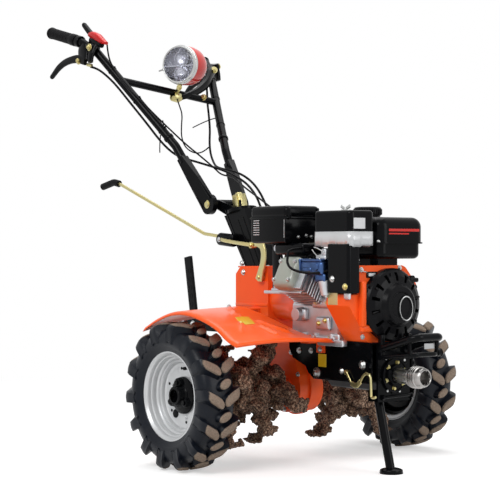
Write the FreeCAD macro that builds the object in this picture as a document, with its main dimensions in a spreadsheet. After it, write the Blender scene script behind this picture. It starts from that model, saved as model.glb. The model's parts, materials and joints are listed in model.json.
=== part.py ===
import FreeCAD, Part
import math
import os
import re
import Sketcher

Vector = FreeCAD.Vector
Rotation = FreeCAD.Rotation
Placement = FreeCAD.Placement

doc = FreeCAD.newDocument("power_tiller")

# Driving dimensions, in millimetres. X is forward from the wheel axle, Y is left and Z is up
# from the floor.
SIZES = {
    # overall
    "rear_reach": 945,
    "front_reach": 538,
    "axle_height": 198,
    "track_half": 397,
    # wheels
    "tyre_width": 116,
    "tyre_bead_radius": 104,
    "rim_radius": 117,
    "rim_half": 38,
    "rim_wall": 4,
    "rim_step": 12,
    "disc_inset": 40,
    "hub_radius": 38,
    "hub_length": 60,
    "shaft_circle": 16,
    "shaft_gap": 0.1,
    "running_gap": 0.05,
    "shaft_half": 405,
    # tines
    "tine_radius": 155,
    "tine_thick": 7,
    "tine_tube": 22,
    "tine_first": 116,
    "tine_pitch": 82,
    "tine_foot": 34,
    # gearbox and leg
    "gear_rear": -200,
    "gear_front": -50,
    "gear_top": 536,
    "gear_half": 62,
    "leg_half": 42,
    "leg_foot": 68,
    "gear_flange": 8,
    # engine
    "crank_height": 442,
    "bell_small": 56,
    "bell_large": 86,
    "case_rear": 105,
    "case_front": 290,
    "case_half": 100,
    "case_top": 520,
    "base_top": 345,
    "shroud_front": 380,
    "shroud_top": 545,
    "shroud_duct": 138,
    "shroud_side": 110,
    "shroud_radius": 103,
    "recoil_radius": 96,
    "recoil_nose": 52,
    "recoil_depth": 50,
    "recoil_slots": 14,
    "cylinder_lean": 26,
    "barrel_seat": 86,
    "head_reach": 205,
    "head_half": 52,
    "head_middle": 184,
    "fin_count": 7,
    "fin_pitch": 13,
    "fin_depth": 9,
    # fuel tank
    "tank_rear": 195,
    "tank_front": 398,
    "tank_right": -52,
    "tank_left": 125,
    "tank_bottom": 562,
    "tank_seam": 604,
    "tank_top": 672,
    "cap_radius": 40,
    "cap_height": 30,
    # air cleaner and muffler
    "cleaner_rear": 250,
    "cleaner_front": 396,
    "cleaner_side": 150,
    "cleaner_inner": 64,
    "cleaner_bottom": 600,
    "cleaner_top": 688,
    "cover_rear": 306,
    "cover_bottom": 474,
    "muffler_rear": -20,
    "muffler_front": 135,
    "muffler_inner": 31,
    "muffler_bottom": 612,
    "muffler_top": 706,
    # base, power take-off and front frame
    "base_rear": 60,
    "base_front": 400,
    "base_half": 75,
    "base_wall": 5,
    "base_low": 237,
    "pto_height": 258,
    "pto_radius": 44,
    "pto_rear": 178,
    "pto_face": 400,
    "flange_depth": 16,
    "spline_radius": 19,
    "spline_count": 8,
    "sleeve_rear": 453,
    "sleeve_front": 517,
    "sleeve_radius": 29,
    "sleeve_bore": 16,
    "frame_half": 57,
    "frame_low": 190,
    "frame_wall": 6,
    "guard_tube": 10,
    "guard_height": 363,
    "guard_low": 327,
    "rail_height": 318,
    "rail_low": 306,
    "rail_tube": 6,
    "guard_half": 48,
    # stand
    "stand_pivot": 339,
    "stand_height": 196,
    "stand_foot": 390,
    "stand_tube": 12,
    "foot_radius": 31,
    "foot_depth": 9,
    "pin_radius": 6,
    # handle
    "column_half": 31,
    "column_rear": -297,
    "column_front": -200,
    "column_rear_top": 686,
    "column_front_top": 708,
    "swivel_radius": 44,
    "swivel_depth": 10,
    "swivel_gap": 0.15,
    "lock_radius": 17,
    "lock_height": 58,
    "guide_low": 603,
    "guide_high": 640,
    "tilt_pivot": -334,
    "tilt_height": 721,
    "yoke_half": 50,
    "yoke_tube": 15,
    "arm_tube": 13,
    "arm_plate": 8,
    "arm_drop": 3,
    "drop_reach": 28,
    "knee_back": -452,
    "knee_half": 98,
    "knee_height": 899,
    "elbow_back": -693,
    "elbow_half": 225,
    "elbow_height": 1196,
    "grip_start": -746,
    "grip_half": 248,
    "grip_height": 1232,
    "grip_end_half": 260,
    "grip_end_height": 1280,
    "grip_radius": 18,
    "grip_length": 130,
    "crossbar_tube": 11,
    "crossbar_right": 0.70,
    "crossbar_left": 0.59,
    "lamp_radius": 66,
    "lamp_depth": 74,
    "lamp_turn": -66,
    "lamp_ahead": -560,
    "lamp_height": 1168,
    "clutch_cable": 3.5,
    "throttle_cable": 2.5,
    "lamp_lead": 2,
    # rear hitch
    "hitch_back": -520,
    "hitch_low": 340,
    "hitch_high": 378,
    "hitch_half": 20,
    "hitch_pin": 8,
    "stake_wide": 30,
    "stake_top": 566,
    "stake_low": 280,
    "stake_lean": 10,
    "stake_thick": 10,
    # fender
    "fender_inner": 112,
    "fender_outer": 450,
    "fender_sheet": 2.5,
}

sheet = doc.addObject("Spreadsheet::Sheet", "dims")
for row, (word, number) in enumerate(SIZES.items(), 1):
    sheet.set("A%d" % row, word)
    sheet.set("B%d" % row, str(number))
    sheet.setAlias("B%d" % row, word)
doc.recompute()

WORDS = re.compile(r"\b(" + "|".join(sorted(SIZES, key=len, reverse=True)) + r")\b")
nodes = []
ahead_of = {}


def bound(text):
    """The expression with each dimension's name pointing at its cell."""
    return WORDS.sub(lambda found: "dims." + found.group(1), str(text))


def size(text):
    """The present value of an expression of dimensions."""
    return float(sheet.evalExpression(WORDS.sub(lambda found: found.group(1), str(text))))


def finish(thing, label):
    """Name a finished sub-part and set it in the shared frame."""
    thing.Label = label
    ahead = ahead_of.get(thing.Name, "0")
    thing.setExpression("Placement.Base.x", bound("(rear_reach - front_reach) / 2 + (%s)" % ahead))
    nodes.append(thing)
    return thing


def new_body(name):
    return doc.addObject("PartDesign::Body", name)


def new_sketch(body, role, along="0", up="0", off="0"):
    """A sketch on one of the body's own origin planes, moved by three expressions."""
    face = [f for f in body.Origin.OriginFeatures if f.Role == role + "_Plane"][0]
    sketch = body.newObject("Sketcher::SketchObject", body.Name + "_sketch")
    sketch.AttachmentSupport = [(face, "")]
    sketch.MapMode = "FlatFace"
    sketch.setExpression("AttachmentOffset.Base.x", bound(along))
    sketch.setExpression("AttachmentOffset.Base.y", bound(up))
    sketch.setExpression("AttachmentOffset.Base.z", bound(off))
    return sketch


def draw_outline(sketch, points):
    """A closed outline of straight lines whose corners follow expressions."""
    first = sketch.GeometryCount
    spots = [Vector(size(x), size(y), 0) for x, y in points]
    for start, end in zip(spots, spots[1:] + spots[:1]):
        sketch.addGeometry(Part.LineSegment(start, end), False)
    for step in range(len(points)):
        here = first + step
        after = first + (step + 1) % len(points)
        sketch.addConstraint(Sketcher.Constraint("Coincident", here, 2, after, 1))
    for step, (x, y) in enumerate(points):
        here = first + step
        for kind, text, spot in (("DistanceX", x, spots[step].x), ("DistanceY", y, spots[step].y)):
            index = sketch.addConstraint(Sketcher.Constraint(kind, -1, 1, here, 1, spot))
            sketch.setExpression("Constraints[%d]" % index, bound(text))


def draw_circle(sketch, x, y, radius):
    circle = Part.Circle(Vector(size(x), size(y), 0), Vector(0, 0, 1), size(radius))
    here = sketch.addGeometry(circle, False)
    index = sketch.addConstraint(Sketcher.Constraint("Radius", here, size(radius)))
    sketch.setExpression("Constraints[%d]" % index, bound(radius))
    for kind, text in (("DistanceX", x), ("DistanceY", y)):
        index = sketch.addConstraint(Sketcher.Constraint(kind, -1, 1, here, 3, size(text)))
        sketch.setExpression("Constraints[%d]" % index, bound(text))


def offset_of(role, low, high):
    """Where a pad from low to high starts along the plane's own normal."""
    return "-(%s)" % high if role == "XZ" else low


def pad(body, role, points, low, high):
    """Push a closed outline from low to high along the axis square to its plane."""
    sketch = new_sketch(body, role, off=offset_of(role, low, high))
    draw_outline(sketch, points)
    feature = body.newObject("PartDesign::Pad", body.Name + "_pad")
    feature.Profile = sketch
    feature.setExpression("Length", bound("(%s) - (%s)" % (high, low)))
    doc.recompute()
    return feature


def pad_round(body, role, x, y, radius, low, high):
    sketch = new_sketch(body, role, off=offset_of(role, low, high))
    draw_circle(sketch, x, y, radius)
    feature = body.newObject("PartDesign::Pad", body.Name + "_boss")
    feature.Profile = sketch
    feature.setExpression("Length", bound("(%s) - (%s)" % (high, low)))
    doc.recompute()
    return feature


def pocket(body, sketch):
    """Cut a sketch right through the body, both ways."""
    before = body.Shape.Volume
    feature = body.newObject("PartDesign::Pocket", body.Name + "_pocket")
    feature.Profile = sketch
    feature.Type = "ThroughAll"
    feature.Midplane = True
    doc.recompute()
    if not body.Shape.Volume < before:
        raise ValueError(body.Name + ": the pocket cut nothing")
    return feature


def cut_round(body, role, x, y, radius):
    sketch = new_sketch(body, role)
    draw_circle(sketch, x, y, radius)
    return pocket(body, sketch)


def groove(body, role, outlines, low, high):
    """Cut closed outlines between two places along the axis square to their plane."""
    before = body.Shape.Volume
    sketch = new_sketch(body, role, off=offset_of(role, low, high))
    for points in outlines:
        draw_outline(sketch, points)
    feature = body.newObject("PartDesign::Pocket", body.Name + "_groove")
    feature.Profile = sketch
    feature.Reversed = True
    feature.setExpression("Length", bound("(%s) - (%s)" % (high, low)))
    doc.recompute()
    if not body.Shape.Volume < before:
        raise ValueError(body.Name + ": the groove cut nothing")
    return feature


def ring_of_grooves(body, up, points, low, high, count):
    """One groove along X, repeated round a line along X at the height up."""
    before = body.Tip
    sketch = new_sketch(body, "YZ", up=up, off=low)
    draw_outline(sketch, points)
    feature = body.newObject("PartDesign::Pocket", body.Name + "_slot")
    feature.Profile = sketch
    feature.Reversed = True
    feature.setExpression("Length", bound("(%s) - (%s)" % (high, low)))
    doc.recompute()
    ring = body.newObject("PartDesign::PolarPattern", body.Name + "_ring")
    ring.Originals = [feature]
    ring.Axis = (sketch, ["N_Axis"])
    ring.Angle = 360
    ring.setExpression("Occurrences", bound(count))
    body.Tip = ring
    doc.recompute()
    if not ring.Shape.Volume < feature.Shape.Volume < before.Shape.Volume:
        raise ValueError(body.Name + ": the ring of grooves cut nothing")
    return ring


def lathe(name, role, up, points):
    """A body turned about a line along X (role XZ) or Y (role YZ) at the height up."""
    body = new_body(name)
    sketch = new_sketch(body, role, up=up)
    draw_outline(sketch, points)
    feature = body.newObject("PartDesign::Revolution", name + "_turn")
    feature.Profile = sketch
    feature.ReferenceAxis = (sketch, ["H_Axis"])
    feature.Angle = 360
    doc.recompute()
    return body


def edges_along(shape, axis):
    """Names of the straight edges that run along an axis."""
    found = []
    for number, edge in enumerate(shape.Edges, 1):
        if edge.Curve.TypeId == "Part::GeomLine":
            if abs(abs(edge.Curve.Direction.dot(axis)) - 1) < 1e-6:
                found.append("Edge%d" % number)
    return found


def edges_level(shape, level):
    """Names of the edges that lie flat at a height."""
    found = []
    for number, edge in enumerate(shape.Edges, 1):
        limits = edge.BoundBox
        if abs(limits.ZMin - level) < 0.01 and abs(limits.ZMax - level) < 0.01:
            found.append("Edge%d" % number)
    return found


def round_off(body, names, radius):
    before = body.Tip
    feature = body.newObject("PartDesign::Fillet", body.Name + "_fillet")
    feature.Base = (before, names)
    feature.setExpression("Radius", bound(radius))
    doc.recompute()
    return feature


def box(name, low, high):
    """A Part::Box between two corners given as expressions."""
    block = doc.addObject("Part::Box", name)
    for side, a, b in zip(("Length", "Width", "Height"), low, high):
        block.setExpression(side, bound("(%s) - (%s)" % (b, a)))
    for axis, a in zip("xyz", low):
        block.setExpression("Placement.Base." + axis, bound(a))
    ahead_of[block.Name] = low[0]
    return block


def rod(name, start, axis, length, radius):
    """A Part::Cylinder along a row axis from a start given as expressions."""
    cylinder = doc.addObject("Part::Cylinder", name)
    turns = {"x": Rotation(Vector(0, 1, 0), 90), "y": Rotation(Vector(1, 0, 0), -90), "z": Rotation()}
    cylinder.Placement = Placement(Vector(), turns[axis])
    cylinder.setExpression("Radius", bound(radius))
    cylinder.setExpression("Height", bound(length))
    for word, a in zip("xyz", start):
        cylinder.setExpression("Placement.Base." + word, bound(a))
    ahead_of[cylinder.Name] = start[0]
    return cylinder


def cut(name, base, tool):
    piece = doc.addObject("Part::Cut", name)
    piece.Base = base
    piece.Tool = tool
    return piece


def path(points, bend):
    """A wire through the points with each corner rounded to the bend radius."""
    edges = []
    start = points[0]
    for before, corner, after in zip(points, points[1:], points[2:]):
        back = (before - corner).normalize()
        ahead = (after - corner).normalize()
        half = back.getAngle(ahead) / 2
        trim = bend / math.tan(half)
        first = corner + back * trim
        last = corner + ahead * trim
        middle = (back + ahead).normalize()
        centre = corner + middle * (bend / math.sin(half))
        edges.append(Part.LineSegment(start, first).toShape())
        edges.append(Part.Arc(first, centre - middle * bend, last).toShape())
        start = last
    edges.append(Part.LineSegment(start, points[-1]).toShape())
    return Part.Wire(edges)


def tube(points, bend, radius):
    """A round bar bent along the points."""
    wire = path(points, bend)
    direction = points[1] - points[0]
    ring = Part.Wire([Part.Circle(points[0], direction, radius).toShape()])
    return wire.makePipeShell([ring], True, False)


def shaped(name, shape):
    """A feature for a shape that only Part's own functions make."""
    feature = doc.addObject("Part::Feature", name)
    feature.Shape = shape
    ahead_of[feature.Name] = "%.9f" % feature.Placement.Base.x
    return feature


def spot(x, y, z):
    return Vector(size(x), size(y), size(z))


def side(sign, text):
    return text if sign > 0 else "-(%s)" % text


def span(sign, low, high):
    """A stretch across the machine on one side of its middle, low end first."""
    if sign > 0:
        return low, high
    return "-(%s)" % high, "-(%s)" % low


SIDES = (("right", -1), ("left", 1))
AXIS_X = Vector(1, 0, 0)
AXIS_Y = Vector(0, 1, 0)
AXIS_Z = Vector(0, 0, 1)


# ---- axle, wheels and tines -------------------------------------------------------------

def make_shaft():
    """The six-sided shaft right through the leg, which carries wheels and tines."""
    shaft = doc.addObject("Part::Prism", "drive_shaft")
    shaft.Polygon = 6
    shaft.Placement = Placement(Vector(), Rotation(Vector(1, 0, 0), -90))
    shaft.setExpression("Circumradius", bound("shaft_circle"))
    shaft.setExpression("Height", bound("2 * shaft_half"))
    shaft.setExpression("Placement.Base.y", bound("-shaft_half"))
    shaft.setExpression("Placement.Base.z", bound("axle_height"))
    finish(shaft, "drive_shaft")


def make_wheel(word, sign):
    """A pressed rim with a stepped dish, and the hub tube that slides on the shaft."""
    def across(text):
        return side(sign, "(track_half + %s)" % text)

    profile = [
        (across("rim_half"), "rim_radius"),
        (across("rim_half - rim_wall"), "rim_radius"),
        (across("rim_half - rim_wall * 2"), "tyre_bead_radius"),
        (across("-rim_half + rim_wall * 2"), "tyre_bead_radius"),
        (across("-rim_half + rim_wall"), "rim_radius"),
        (across("-rim_half"), "rim_radius"),
        (across("-rim_half"), "rim_radius - rim_wall"),
        (across("-rim_half + rim_wall"), "tyre_bead_radius - rim_wall"),
        (across("rim_half - disc_inset"), "tyre_bead_radius - rim_wall"),
        (across("rim_half - disc_inset"), "tyre_bead_radius - rim_step * 2"),
        (across("rim_half - disc_inset - rim_step"), "tyre_bead_radius - rim_step * 3"),
        (across("rim_half - disc_inset - rim_step"), "hub_radius"),
        (across("rim_half - disc_inset - hub_length"), "hub_radius"),
        (across("rim_half - disc_inset - hub_length"), "shaft_circle + shaft_gap"),
        (across("rim_half - disc_inset + rim_step"), "shaft_circle + shaft_gap"),
        (across("rim_half - disc_inset + rim_step"), "hub_radius"),
        (across("rim_half - disc_inset - rim_step + rim_wall"), "hub_radius"),
        (across("rim_half - disc_inset - rim_step + rim_wall"), "tyre_bead_radius - rim_step * 3"),
        (across("rim_half - disc_inset + rim_wall"), "tyre_bead_radius - rim_step * 2 + 1"),
        (across("rim_half - disc_inset + rim_wall"), "tyre_bead_radius - rim_wall"),
        (across("rim_half - rim_wall"), "tyre_bead_radius - rim_wall"),
        (across("rim_half"), "rim_radius - rim_wall"),
    ]
    body = lathe("wheel_" + word, "YZ", "axle_height", profile)
    finish(body, "wheel_" + word)


def make_tyre(word, sign):
    """The tyre at the height of its lug tips, seated on the rim."""
    def across(text):
        return side(sign, "(track_half + %s)" % text)

    profile = [
        (across("rim_half - rim_wall * 2"), "tyre_bead_radius"),
        (across("rim_half - rim_wall"), "rim_radius"),
        (across("tyre_width / 2 - 5"), "rim_radius + 12"),
        (across("tyre_width / 2"), "rim_radius + 34"),
        (across("tyre_width / 2 - 4"), "axle_height - 14"),
        (across("tyre_width / 2 - 18"), "axle_height - 3"),
        (across("tyre_width / 2 - 36"), "axle_height"),
        (across("-tyre_width / 2 + 36"), "axle_height"),
        (across("-tyre_width / 2 + 18"), "axle_height - 3"),
        (across("-tyre_width / 2 + 4"), "axle_height - 14"),
        (across("-tyre_width / 2"), "rim_radius + 34"),
        (across("-tyre_width / 2 + 5"), "rim_radius + 12"),
        (across("-rim_half + rim_wall"), "rim_radius"),
        (across("-rim_half + rim_wall * 2"), "tyre_bead_radius"),
    ]
    body = lathe("tyre_" + word, "YZ", "axle_height", profile)
    finish(body, "tyre_" + word)


def blade(radius, thick, foot, turn, hand):
    """One hooked tine: a curved knife with its foot turned sideways."""
    root = size("tine_tube") - 3
    knife = [
        Vector(-14, 0, root),
        Vector(14, 0, root),
        Vector(20, 0, radius * 0.62),
        Vector(52, 0, radius * 0.93),
        Vector(18, 0, radius * 0.985),
        Vector(-12, 0, radius * 0.62),
    ]
    outline = Part.Wire([
        Part.LineSegment(knife[0], knife[1]).toShape(),
        Part.Arc(knife[1], knife[2], knife[3]).toShape(),
        Part.LineSegment(knife[3], knife[4]).toShape(),
        Part.Arc(knife[4], knife[5], knife[0]).toShape(),
    ])
    flat = Part.Face(outline).extrude(Vector(0, thick, 0))
    flat.translate(Vector(0, -thick / 2, 0))
    toe = Part.makeBox(40, foot, thick)
    toe.translate(Vector(-20, 0 if hand > 0 else -foot, 0))
    toe.rotate(Vector(), AXIS_Y, 14)
    toe.translate(Vector(34, hand * thick / 2, radius * 0.90))
    tine = flat.fuse(toe)
    tine.rotate(Vector(), AXIS_Y, turn)
    return tine


def make_tines(word, sign):
    """A sleeve on the shaft with three stars of four hooked tines."""
    inner = size("leg_half + 10")
    outer = size("tine_first + tine_pitch * 2 + 20")
    low, high = sorted((sign * inner, sign * outer))
    sleeve = Part.makeCylinder(size("tine_tube"), high - low, Vector(0, low, 0), AXIS_Y)
    solid = sleeve
    for star in range(3):
        middle = sign * (size("tine_first") + star * size("tine_pitch"))
        plate = Part.makeCylinder(40, 6, Vector(0, middle - 3, 0), AXIS_Y)
        solid = solid.fuse(plate)
        for arm in range(4):
            hand = 1 if arm % 2 else -1
            turn = arm * 90 + star * 30
            one = blade(size("tine_radius"), size("tine_thick"), size("tine_foot"), turn, hand)
            one.translate(Vector(0, middle, 0))
            solid = solid.fuse(one)
    bore = Part.makeCylinder(size("shaft_circle + shaft_gap"), high - low, Vector(0, low, 0), AXIS_Y)
    solid = solid.cut(bore).removeSplitter()
    solid.translate(Vector(0, 0, size("axle_height")))
    finish(shaped("tines_" + word, solid), "tines_" + word)


# ---- gearbox, base and power take-off ---------------------------------------------------

def make_gearbox(word, sign):
    """One half of the cast gearbox: a wide top and a narrow leg that holds the shaft."""
    body = new_body("gearbox_" + word)
    for wider, depth in (("0", "leg_half"), ("gear_flange", "gear_flange")):
        low, high = span(sign, "0", depth)
        foot = "leg_foot + " + wider
        pad(body, "XZ", [
            ("gear_rear", "334"),
            ("gear_rear", "gear_top - 20"),
            ("gear_rear + 20", "gear_top"),
            ("gear_front", "gear_top"),
            ("gear_front", "crank_height - 92"),
            ("22 + " + wider, "330"),
            ("leg_foot - 6 + " + wider, "axle_height + 40"),
            (foot, "axle_height"),
            ("-(%s)" % foot, "axle_height"),
            ("-(%s) - 8" % foot, "axle_height + 40"),
            ("-142 - " + wider, "320 - (%s)" % wider),
        ], low, high)
        pad_round(body, "XZ", "0", "axle_height", foot, low, high)
    low, high = span(sign, "0", "gear_half")
    pad(body, "XZ", [
        ("gear_rear", "346"),
        ("gear_rear", "gear_top - 20"),
        ("gear_rear + 20", "gear_top"),
        ("gear_front", "gear_top"),
        ("gear_front", "392"),
        ("-62", "376"),
        ("-112", "346"),
    ], low, high)
    low, high = span(sign, "0", "leg_half + 6")
    pad_round(body, "XZ", "0", "axle_height", "leg_foot / 2", low, high)
    cut_round(body, "XZ", "0", "axle_height", "shaft_circle + running_gap")
    finish(body, "gearbox_" + word)


def make_bell():
    """The bell between gearbox and engine, round the crankshaft's line."""
    body = lathe("clutch_housing", "XZ", "crank_height", [
        ("gear_front", "0"),
        ("gear_front", "bell_small"),
        ("gear_front + 40", "bell_small"),
        ("case_rear - 14", "bell_large"),
        ("case_rear", "bell_large"),
        ("case_rear", "0"),
    ])
    finish(body, "clutch_housing")


def make_base():
    """The bent-plate bed under the engine, open below."""
    body = new_body("engine_base")
    outline = [
        ("base_rear", "base_top"),
        ("base_rear", "316"),
        ("base_rear + 15", "290"),
        ("base_rear + 70", "270"),
        ("base_rear + 82", "252"),
        ("base_rear + 105", "base_low"),
        ("pto_face - frame_wall", "base_low"),
        ("base_front - 6", "base_top - 22"),
        ("base_front - 6", "base_top"),
    ]
    pad(body, "XZ", outline, "-base_half", "base_half")
    sketch = new_sketch(body, "YZ")
    draw_outline(sketch, [
        ("-base_half + base_wall", "base_top - base_wall"),
        ("base_half - base_wall", "base_top - base_wall"),
        ("base_half - base_wall", "base_low - 10"),
        ("-base_half + base_wall", "base_low - 10"),
    ])
    pocket(body, sketch)
    finish(body, "engine_base")


def make_pto_housing():
    """The casting that carries the drive forward under the engine."""
    body = new_body("pto_housing")
    pad(body, "YZ", [
        ("-pto_radius", "base_top - base_wall"),
        ("-pto_radius", "pto_height - 18"),
        ("-pto_radius / 2", "pto_height - pto_radius"),
        ("pto_radius / 2", "pto_height - pto_radius"),
        ("pto_radius", "pto_height - 18"),
        ("pto_radius", "base_top - base_wall"),
    ], "pto_rear", "pto_face - frame_wall")
    low_edges = [name for name in edges_along(body.Tip.Shape, AXIS_X)
                 if body.Tip.Shape.getElement(name).BoundBox.ZMax < size("pto_height")]
    round_off(body, low_edges, "14")
    finish(body, "pto_housing")


def make_front_frame():
    """The upright front plate with the drive's hole and the stand's two ears."""
    body = new_body("front_frame")
    pad(body, "YZ", [
        ("-frame_half", "base_top - base_wall"),
        ("-frame_half", "frame_low"),
        ("frame_half", "frame_low"),
        ("frame_half", "base_top - base_wall"),
    ], "pto_face - frame_wall", "pto_face")
    cut_round(body, "YZ", "0", "pto_height", "spline_radius + 4")
    for sign in (-1, 1):
        low, high = span(sign, "stand_tube + 3", "stand_tube + 9")
        pad(body, "XZ", [
            ("stand_pivot - 16", "pto_height - pto_radius"),
            ("stand_pivot - 16", "stand_height - 12"),
            ("pto_face - frame_wall", "frame_low"),
            ("pto_face - frame_wall", "pto_height - pto_radius"),
        ], low, high)
    pad_round(body, "XZ", "stand_pivot", "stand_height", "pin_radius", "-stand_tube - 12", "stand_tube + 12")
    finish(body, "front_frame")


def make_pto_flange():
    body = lathe("pto_flange", "XZ", "pto_height", [
        ("pto_face", "spline_radius + running_gap"),
        ("pto_face", "pto_radius"),
        ("pto_face + flange_depth / 2", "pto_radius"),
        ("pto_face + flange_depth", "spline_radius + 9"),
        ("pto_face + flange_depth", "spline_radius + running_gap"),
    ])
    finish(body, "pto_flange")


def make_pto_shaft():
    """The splined output, with eight ways along it."""
    body = lathe("pto_shaft", "XZ", "pto_height", [
        ("pto_face + 1", "0"),
        ("pto_face + 1", "spline_radius"),
        ("sleeve_rear", "spline_radius"),
        ("sleeve_rear", "0"),
    ])
    ring_of_grooves(body, "pto_height", [
        ("-3", "spline_radius - 3"),
        ("3", "spline_radius - 3"),
        ("3", "spline_radius + 1"),
        ("-3", "spline_radius + 1"),
    ], "pto_face + flange_depth", "sleeve_rear", "spline_count")
    finish(body, "pto_shaft")


def make_pto_coupling():
    """The grooved sleeve on the splines, open at the front for a tool's shaft."""
    body = lathe("pto_coupling", "XZ", "pto_height", [
        ("sleeve_rear", "0"),
        ("sleeve_rear", "sleeve_radius - 4"),
        ("sleeve_rear + 4", "sleeve_radius"),
        ("sleeve_rear + 20", "sleeve_radius"),
        ("sleeve_rear + 22", "sleeve_radius - 3"),
        ("sleeve_rear + 27", "sleeve_radius - 3"),
        ("sleeve_rear + 29", "sleeve_radius"),
        ("sleeve_rear + 36", "sleeve_radius"),
        ("sleeve_front - 10", "sleeve_radius - 4"),
        ("sleeve_front", "sleeve_radius - 5"),
        ("sleeve_front", "sleeve_bore"),
        ("sleeve_front - 45", "sleeve_bore"),
        ("sleeve_front - 45", "0"),
    ])
    finish(body, "pto_coupling")


def make_guard():
    """The bent-tube guard over the power take-off, with a flat rail below."""
    back = "pto_face"
    front = "front_reach - guard_tube"
    bar = tube([
        spot(back, "-guard_half - 2", "guard_low"),
        spot(front, "-guard_half", "guard_height"),
        spot(front, "guard_half", "guard_height"),
        spot(back, "guard_half + 2", "guard_low"),
    ], 22, size("guard_tube"))
    rail = tube([
        spot(back, "-guard_half - 2", "rail_low"),
        spot("front_reach - 22", "-guard_half", "rail_height"),
        spot("front_reach - 22", "guard_half", "rail_height"),
        spot(back, "guard_half + 2", "rail_low"),
    ], 22, size("rail_tube"))
    solid = bar.fuse(rail)
    for sign in (-1, 1):
        post = Part.makeBox(8, 6, size("guard_height - rail_height"))
        post.translate(spot("front_reach - 34", side(sign, "guard_half") + " - 3", "rail_height"))
        solid = solid.fuse(post)
    behind = Part.makeBox(60, 200, 100, Vector(size(back) - 60, -100, 280))
    finish(shaped("front_guard", solid.cut(behind)), "front_guard")


# ---- engine -----------------------------------------------------------------------------

def make_crankcase():
    lean = "cylinder_lean * 1 deg"
    seat_side = "-barrel_seat * cos(%s)" % lean
    seat_up = "crank_height + barrel_seat * sin(%s)" % lean
    seat_rise = "(case_top - (%s)) / cos(%s)" % (seat_up, lean)
    body = new_body("crankcase")
    pad(body, "YZ", [
        ("-case_half", "base_top"),
        ("case_half", "base_top"),
        ("case_half", "case_top - 60"),
        ("case_half - 45", "case_top"),
        ("%s + %s * sin(%s)" % (seat_side, seat_rise, lean), "case_top"),
        ("%s - 50 * sin(%s)" % (seat_side, lean), "%s - 50 * cos(%s)" % (seat_up, lean)),
    ], "case_rear", "case_front")
    round_off(body, edges_along(body.Tip.Shape, AXIS_X)[1:4], "12")
    finish(body, "crankcase")


def make_cylinder():
    """The finned barrel and head, leaning out to the right."""
    body = new_body("cylinder_head")
    body.Placement = Placement(Vector(), Rotation(AXIS_X, -size("cylinder_lean")))
    body.setExpression("Placement.Base.z", bound("crank_height"))
    pad(body, "XZ", [
        ("head_middle - head_half", "-42"),
        ("head_middle + head_half", "-42"),
        ("head_middle + head_half", "42"),
        ("head_middle - head_half", "42"),
    ], "-head_reach + 22", "-barrel_seat")
    flanks = []
    tops = []
    for fin in range(int(size("fin_count"))):
        near = "-barrel_seat - 8 - fin_pitch * %d" % fin
        far = near + " - fin_pitch / 2"
        for sign in (-1, 1):
            edge = "head_middle + %d * head_half" % sign
            root = "head_middle + %d * (head_half - fin_depth)" % sign
            flanks.append([(root, near), (root, far), (edge, far), (edge, near)])
            root = side(sign, "(42 - fin_depth)")
            tops.append([(near, root), (far, root), (far, side(sign, "42")), (near, side(sign, "42"))])
    groove(body, "XY", flanks, "-42", "42")
    groove(body, "YZ", tops, "head_middle - head_half", "head_middle + head_half")
    finish(body, "cylinder_head")
    cover = new_body("rocker_cover")
    cover.Placement = body.Placement
    cover.setExpression("Placement.Base.z", bound("crank_height"))
    pad(cover, "XZ", [
        ("head_middle - head_half - 2", "-46"),
        ("head_middle + head_half + 2", "-46"),
        ("head_middle + head_half + 2", "46"),
        ("head_middle - head_half - 2", "46"),
    ], "-head_reach", "-head_reach + 22")
    round_off(cover, edges_along(cover.Tip.Shape, AXIS_Y), "16")
    finish(cover, "rocker_cover")


def make_shroud():
    """The blower housing: a round end over the flywheel and a duct to the cylinder."""
    body = new_body("blower_housing")
    pad(body, "YZ", [
        ("-shroud_duct", "cover_bottom - 4"),
        ("-shroud_side", "cover_bottom - 4"),
        ("-shroud_side", "shroud_top"),
        ("shroud_radius * 0.55", "shroud_top"),
        ("shroud_radius", "crank_height + 50"),
        ("shroud_radius", "crank_height - 45"),
        ("shroud_radius * 0.5", "base_top"),
        ("-shroud_radius * 0.72", "base_top"),
        ("-shroud_duct", "crank_height - 2"),
    ], "case_front", "shroud_front")
    tall = edges_along(body.Tip.Shape, AXIS_X)
    bends = [name for name in tall if body.Tip.Shape.getElement(name).BoundBox.YMin > 0]
    round_off(body, bends, "30")
    finish(body, "blower_housing")


def make_recoil():
    """The starter's cover: a dished ring with air slots round a raised nose."""
    body = lathe("recoil_starter", "XZ", "crank_height", [
        ("shroud_front", "0"),
        ("shroud_front", "recoil_radius"),
        ("shroud_front + 14", "recoil_radius"),
        ("shroud_front + 22", "recoil_radius - 5"),
        ("shroud_front + 31", "recoil_radius - 20"),
        ("shroud_front + 35", "recoil_nose + 6"),
        ("shroud_front + recoil_depth - 3", "recoil_nose"),
        ("shroud_front + recoil_depth", "recoil_nose - 5"),
        ("shroud_front + recoil_depth", "recoil_nose - 16"),
        ("shroud_front + recoil_depth - 4", "recoil_nose - 20"),
        ("shroud_front + recoil_depth - 4", "0"),
    ])
    ring_of_grooves(body, "crank_height", [
        ("-4", "recoil_nose + 11"),
        ("4", "recoil_nose + 11"),
        ("5", "recoil_radius - 11"),
        ("-5", "recoil_radius - 11"),
    ], "shroud_front + 14", "shroud_front + recoil_depth", "recoil_slots")
    finish(body, "recoil_starter")


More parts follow.
